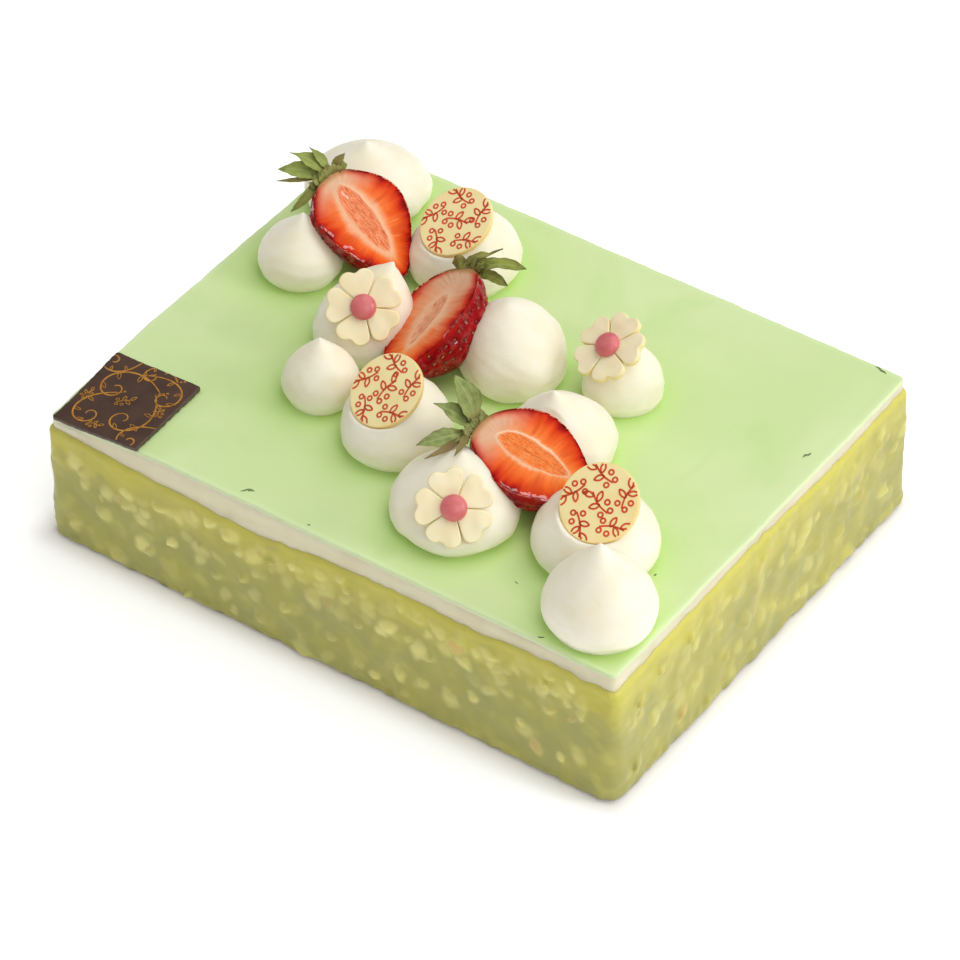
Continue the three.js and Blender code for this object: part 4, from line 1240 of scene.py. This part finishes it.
def build_disc(number, disc, look, print_look):
    name, at, face, _ = disc
    placed = placing(at, face)
    edge = 0.35
    profile = [(4, -DISC_THICKNESS), (DISC_RADIUS - edge, -DISC_THICKNESS)]
    for a in np.linspace(-math.pi / 2, 0, 5)[1:]:
        profile.append((DISC_RADIUS - edge * (1 - math.cos(a)), -DISC_THICKNESS + edge * (1 + math.sin(a))))
    for a in np.linspace(0, math.pi / 2, 5):
        profile.append((DISC_RADIUS - edge * (1 - math.cos(a)), -edge * (1 - math.sin(a))))
    profile += [(radius, 0) for radius in (11.6, 10.5, 8, 5, 2)]
    rings = round_rings(profile, 96, 0.004, number)
    rim = with_ends(np.array([np.full(96, DISC_RADIUS - radius) for radius, _ in profile]))
    points, faces = closed_loft(rings)
    points = to_cake(placed, points)
    add_piece("printed_disc_" + name, points, faces, [look], "disc", "disc_" + name, {"rim": rim})

    base = 0.35 + 1.1 * number
    motifs = [((0.3, 0.2), base, 1.5)]
    for k in range(5):
        way = base + 0.5 + k * 2 * math.pi / 5
        motifs.append(((9.2 * math.cos(way), 9.2 * math.sin(way)), way + 0.9, 1.45))

    def inside(path):
        return np.hypot(*path.T) < DISC_RADIUS - 0.45

    strips = []
    for motif in motifs:
        for path in sprig(*motif):
            strips += ribbons(path, 60, inside, 0.6, 0.05)
    points, faces = join(strips)
    add_piece("disc_print_" + name, to_cake(placed, points), faces, [print_look], "disc")


def on_plaque(points):
    """Points in the plaque's own frame, level 0 at its underside, put on the drooping corner."""
    flat = turned(points[:, :2], PLAQUE_TURN) + PLAQUE_AT
    placed = np.column_stack([flat, points[:, 2] + HEIGHT + GAP])
    placed[:, 2] -= corner_droop(placed)
    return placed


def tendril(at, angle, size, hand):
    """A curl that runs out of a spiral into a long tail."""
    t = np.linspace(0, 1, 90)
    way = angle + hand * 1.3 * 2 * math.pi * (1 - t) ** 1.5
    step = size * (0.06 + 0.26 * t)
    path = np.cumsum(np.stack([np.cos(way), np.sin(way)], -1) * step[:, None], 0)
    return path - path.mean(0) + at


def build_plaque(look, gold):
    columns = outline_columns(40, 42, 3)
    profile = [(12, 0), (0.15, 0), (0, 0.2), (0, PLAQUE_THICKNESS - 0.25), (0.08, PLAQUE_THICKNESS - 0.07)]
    profile += [(inset, PLAQUE_THICKNESS) for inset in (0.28, 1, 3, 6, 9, 12, 15)]
    rings = []
    for inset, z in profile:
        flat = outline_points(columns, PLAQUE_SIZE, 0.5, -inset, z)[:, :2]
        chipped = 0.12 * wobble(flat, 3.0, 61) * math.exp(-inset / 1.2)
        ring = outline_points(columns, PLAQUE_SIZE, 0.5, -inset + chipped - 0.1, z)
        ring[:, 2] += 0.06 * wobble(flat, 18, 62) if z > 0.5 else 0
        rings.append(ring)
    points, faces = closed_loft(np.array(rings))
    add_piece("dark_plaque", on_plaque(points), faces, [look], "dark_chocolate", "chocolate_plaque", sharp=50)

    # Curls as (place, angle, size, hand), and sprigs as (place, angle, size).
    curls = [
        ((-8.5, -9.0), 0.5, 1.0, 1), ((6.0, -6.5), 2.3, 1.15, -1), ((-6.0, 5.5), -0.6, 1.2, 1),
        ((9.5, 8.5), 3.5, 1.0, -1), ((11.5, -14.0), 0.2, 0.8, 1), ((-13.5, 13.0), 1.4, 0.8, -1),
        ((1.0, 14.5), 5.6, 0.7, 1),
    ]
    sprigs = [
        ((-0.5, -0.5), 0.6, 1.0), ((12.6, 0.5), 2.0, 0.8),
        ((-13.2, -3.0), 1.2, 0.8), ((-2.5, -14.2), 0.1, 0.8),
    ]

    def inside(path):
        return (np.abs(path) < np.array(PLAQUE_SIZE) / 2 - 0.35).all(1)

    strips = []
    for at, angle, size, hand in curls:
        path = tendril(at, angle, 2.1 * size, hand)
        strips += ribbons(path, 110, inside, 0.5, 0.09, swelling=True)
        for k in (50, 62, 74):
            leaf = leaf_line(path[k], angle + hand * (1.4 - 0.03 * k), 2.6 * size, 0.95 * size)
            strips += ribbons(leaf, 48, inside, 0.26, 0.09)
        for k in (0.7, 1.5):
            strips += ribbons(circle(path[-1] + (1.2 * k, 0.9 * k), 0.28, 14), 48, inside, 0.24, 0.09)
    for motif in sprigs:
        for path in sprig(*motif):
            strips += ribbons(path, 40, inside, 0.26, 0.09)
    points, faces = join(strips)
    points[:, 2] += PLAQUE_THICKNESS + 0.02
    add_piece("plaque_ornament", on_plaque(points), faces, [gold], "dark_chocolate")


# ---------------------------------------------------------------- small things on the glaze


def build_specks(look):
    """Tiny splinters of leaf and seed in the glaze."""
    # Place, way, length and width of each.
    specks = [
        (-33.0, -79.2, 0.9, 3.6, 0.5), (-31.4, -78.4, 0.4, 2.2, 0.8), (60.0, -66.2, -0.2, 3.2, 0.6),
        (101.4, 33.9, 1.2, 3.6, 0.7), (99.0, 82.1, -0.3, 5.0, 0.7), (79.6, -81.6, 0.4, 2.2, 0.4),
        (92.7, -39.2, 1.0, 1.1, 0.7), (-7.3, -81.0, 0.3, 1.0, 0.7),
    ]
    bodies = []
    for number, (x, y, way, length, width) in enumerate(specks):
        points, faces = ellipsoid((0, 0, 0), np.eye(3), (length / 2, width / 2, 0.16), 8, 14)
        points[:, 1] += 0.25 * width * np.sin(points[:, 0] * 2.2 + number)
        points += 0.06 * wobble(points, 1.1, 700 + number)[:, None]
        points[:, :2] = turned(points[:, :2], way)
        bodies.append((points + (x, y, HEIGHT + 0.08 - corner_droop(np.array([x, y]))), faces))
    points, faces = join(bodies)
    add_piece("glaze_specks", points, faces, [look], "glaze")


# ---------------------------------------------------------------- camera, floor and light

TARGET = np.array([7.11, -9.873, 26.25])
AZIMUTH, ELEVATION, ROLL = (math.radians(angle) for angle in (35.143, 41.757, -0.274))
DISTANCE = 1532.41


def camera_axes():
    level = math.cos(ELEVATION)
    back = np.array([math.sin(AZIMUTH) * level, -math.cos(AZIMUTH) * level, math.sin(ELEVATION)])
    right = unit(np.cross(-back, (0, 0, 1)))
    up = np.cross(right, -back)
    return right * math.cos(ROLL) + up * math.sin(ROLL), up * math.cos(ROLL) - right * math.sin(ROLL), back


def set_camera():
    right, up, back = camera_axes()
    camera = bpy.data.objects.new("camera", bpy.data.cameras.new("camera"))
    camera.data.lens = 180
    camera.data.sensor_width = 36
    camera.data.clip_end = 20
    place = Matrix(np.stack([right, up, back], 1).tolist()).to_4x4()
    place.translation = Vector(((TARGET + back * DISTANCE) * MM).tolist())
    camera.matrix_world = place
    bpy.context.scene.collection.objects.link(camera)
    bpy.context.scene.camera = camera


def add_light(name, at, size, power):
    light = bpy.data.objects.new(name, bpy.data.lights.new(name, "AREA"))
    light.data.size = size
    light.data.energy = power
    light.location = at
    aim = Vector((0, 0, 0.04)) - Vector(at)
    light.rotation_euler = aim.to_track_quat("-Z", "Y").to_euler()
    bpy.context.scene.collection.objects.link(light)


def floor_look():
    """A white sweep that glows a little, with a painted contact shadow, darker and warmer, right beside the
    cake.
    """
    look = Look("floor", Roughness=0.9, Specular_IOR_Level=0.1)
    tone = look.mix(look.noise(3), (0.86, 0.86, 0.86, 1), (0.88, 0.88, 0.88, 1))
    x, y, _ = look.parts(look.place)
    beyond = []
    for way, span in ((x, LENGTH), (y, WIDTH)):
        far = abs(way) - (span / 2 + 1.5) * MM
        beyond.append(look.maths("POWER", look.maths("MAXIMUM", far, 0.0), 2.0))
    away = look.maths("SQRT", beyond[0] + beyond[1])
    # Painted contact shadow: the glow drops and the tint warms close to the cake's foot.
    painted_shadow_tint = look.mix(away.span(0.0, 9 * MM), (1, 0.93, 0.8, 1), (1, 1, 1, 1))
    glow = away.span(-4 * MM, 11 * MM, 0.08, 0.43)
    return look.set(Base_Color=tone, Emission_Color=painted_shadow_tint, Emission_Strength=glow)


def set_stage():
    scene = bpy.context.scene
    scene.view_settings.view_transform = "Standard"
    world = bpy.data.worlds.new("studio")
    world.use_nodes = True
    world.node_tree.nodes["Background"].inputs["Color"].default_value = (1, 1, 1, 1)
    world.node_tree.nodes["Background"].inputs["Strength"].default_value = 0.26
    scene.world = world

    floor = bpy.data.meshes.new("floor")
    floor.from_pydata([(-6, -6, 0), (6, -6, 0), (6, 6, 0), (-6, 6, 0)], [], [(0, 1, 2, 3)])
    floor.materials.append(floor_look())
    ground = bpy.data.objects.new("floor", floor)
    scene.collection.objects.link(ground)

    add_light("overhead", (0.35, 0.55, 1.8), 1.9, 21.5)
    add_light("side", (2.1, 0.7, 1.15), 0.8, 17)
    add_light("front", (1.4, -0.9, 1.3), 1.0, 8.5)
    add_light("fill", (-1.7, -0.5, 1.6), 1.6, 6)


# ---------------------------------------------------------------- the whole cake


def build_cake():
    build_block()
    build_cream()
    build_glaze()
    build_kisses(cream_look("whipped_cream", rgb(244, 237, 218), rgb(240, 231, 206), 0.22, 0.11))

    skin, seed = skin_look(), seed_look()
    fleshes = [
        flesh_look("flesh_left", 0.1, 0.1, 4.2, 0.35, rgb(236, 128, 82), rgb(248, 168, 122), 0.35, 0.6),
        flesh_look("flesh_middle", 0.95, 0.12, 5.0, 0.2, rgb(228, 154, 116), rgb(240, 182, 142), 0.1, 0.7),
        flesh_look("flesh_right", 0.05, 0.13, 1.6, 0.75, rgb(246, 126, 54), rgb(250, 156, 90), 0.4, 0.25),
    ]
    leaves = [
        leaf_look("leaf_left", rgb(154, 168, 82), rgb(116, 132, 58), rgb(92, 98, 48)),
        leaf_look("leaf_middle", rgb(146, 156, 64), rgb(80, 90, 40), rgb(54, 58, 32)),
        leaf_look("leaf_right", rgb(142, 158, 88), rgb(92, 106, 50), rgb(70, 76, 40)),
    ]
    for number, berry in enumerate(STRAWBERRIES):
        build_berry(number, berry, seed, skin, fleshes[number])
        build_calyx(number, berry, leaves[number])

    petals = chocolate_look(
        "flower_chocolate", rgb(252, 238, 200), rgb(248, 231, 187), rgb(244, 222, 156),
        Roughness=0.42, Specular_IOR_Level=0.4, Subsurface_Weight=0.3, Subsurface_Scale=0.003,
    )
    button = plain_look("flower_button", rgb(220, 117, 118), rgb(210, 104, 106), 5, Roughness=0.32)
    for number, flower in enumerate(FLOWERS):
        build_flower(number, flower, petals, button)

    disc = chocolate_look(
        "disc_chocolate", rgb(255, 236, 174), rgb(252, 228, 160), rgb(244, 206, 128),
        Roughness=0.32, Specular_IOR_Level=0.4, Subsurface_Weight=0.15, Subsurface_Scale=0.002,
    )
    red = plain_look("disc_print", rgb(220, 84, 36), rgb(206, 68, 28), 4, Roughness=0.45)
    for number, plate in enumerate(DISCS):
        build_disc(number, plate, disc, red)

    dark = plain_look(
        "dark_chocolate", rgb(80, 57, 45), rgb(69, 48, 37), 9, Roughness=0.34, Specular_IOR_Level=0.45,
    )
    gold = plain_look("gold_print", rgb(206, 146, 58), rgb(176, 116, 40), 3, Roughness=0.38, Metallic=0.25)
    build_plaque(dark, gold)
    build_specks(plain_look("specks", rgb(124, 146, 88), rgb(84, 96, 58), 2, Roughness=0.5))


set_camera()
set_stage()
build_cake()
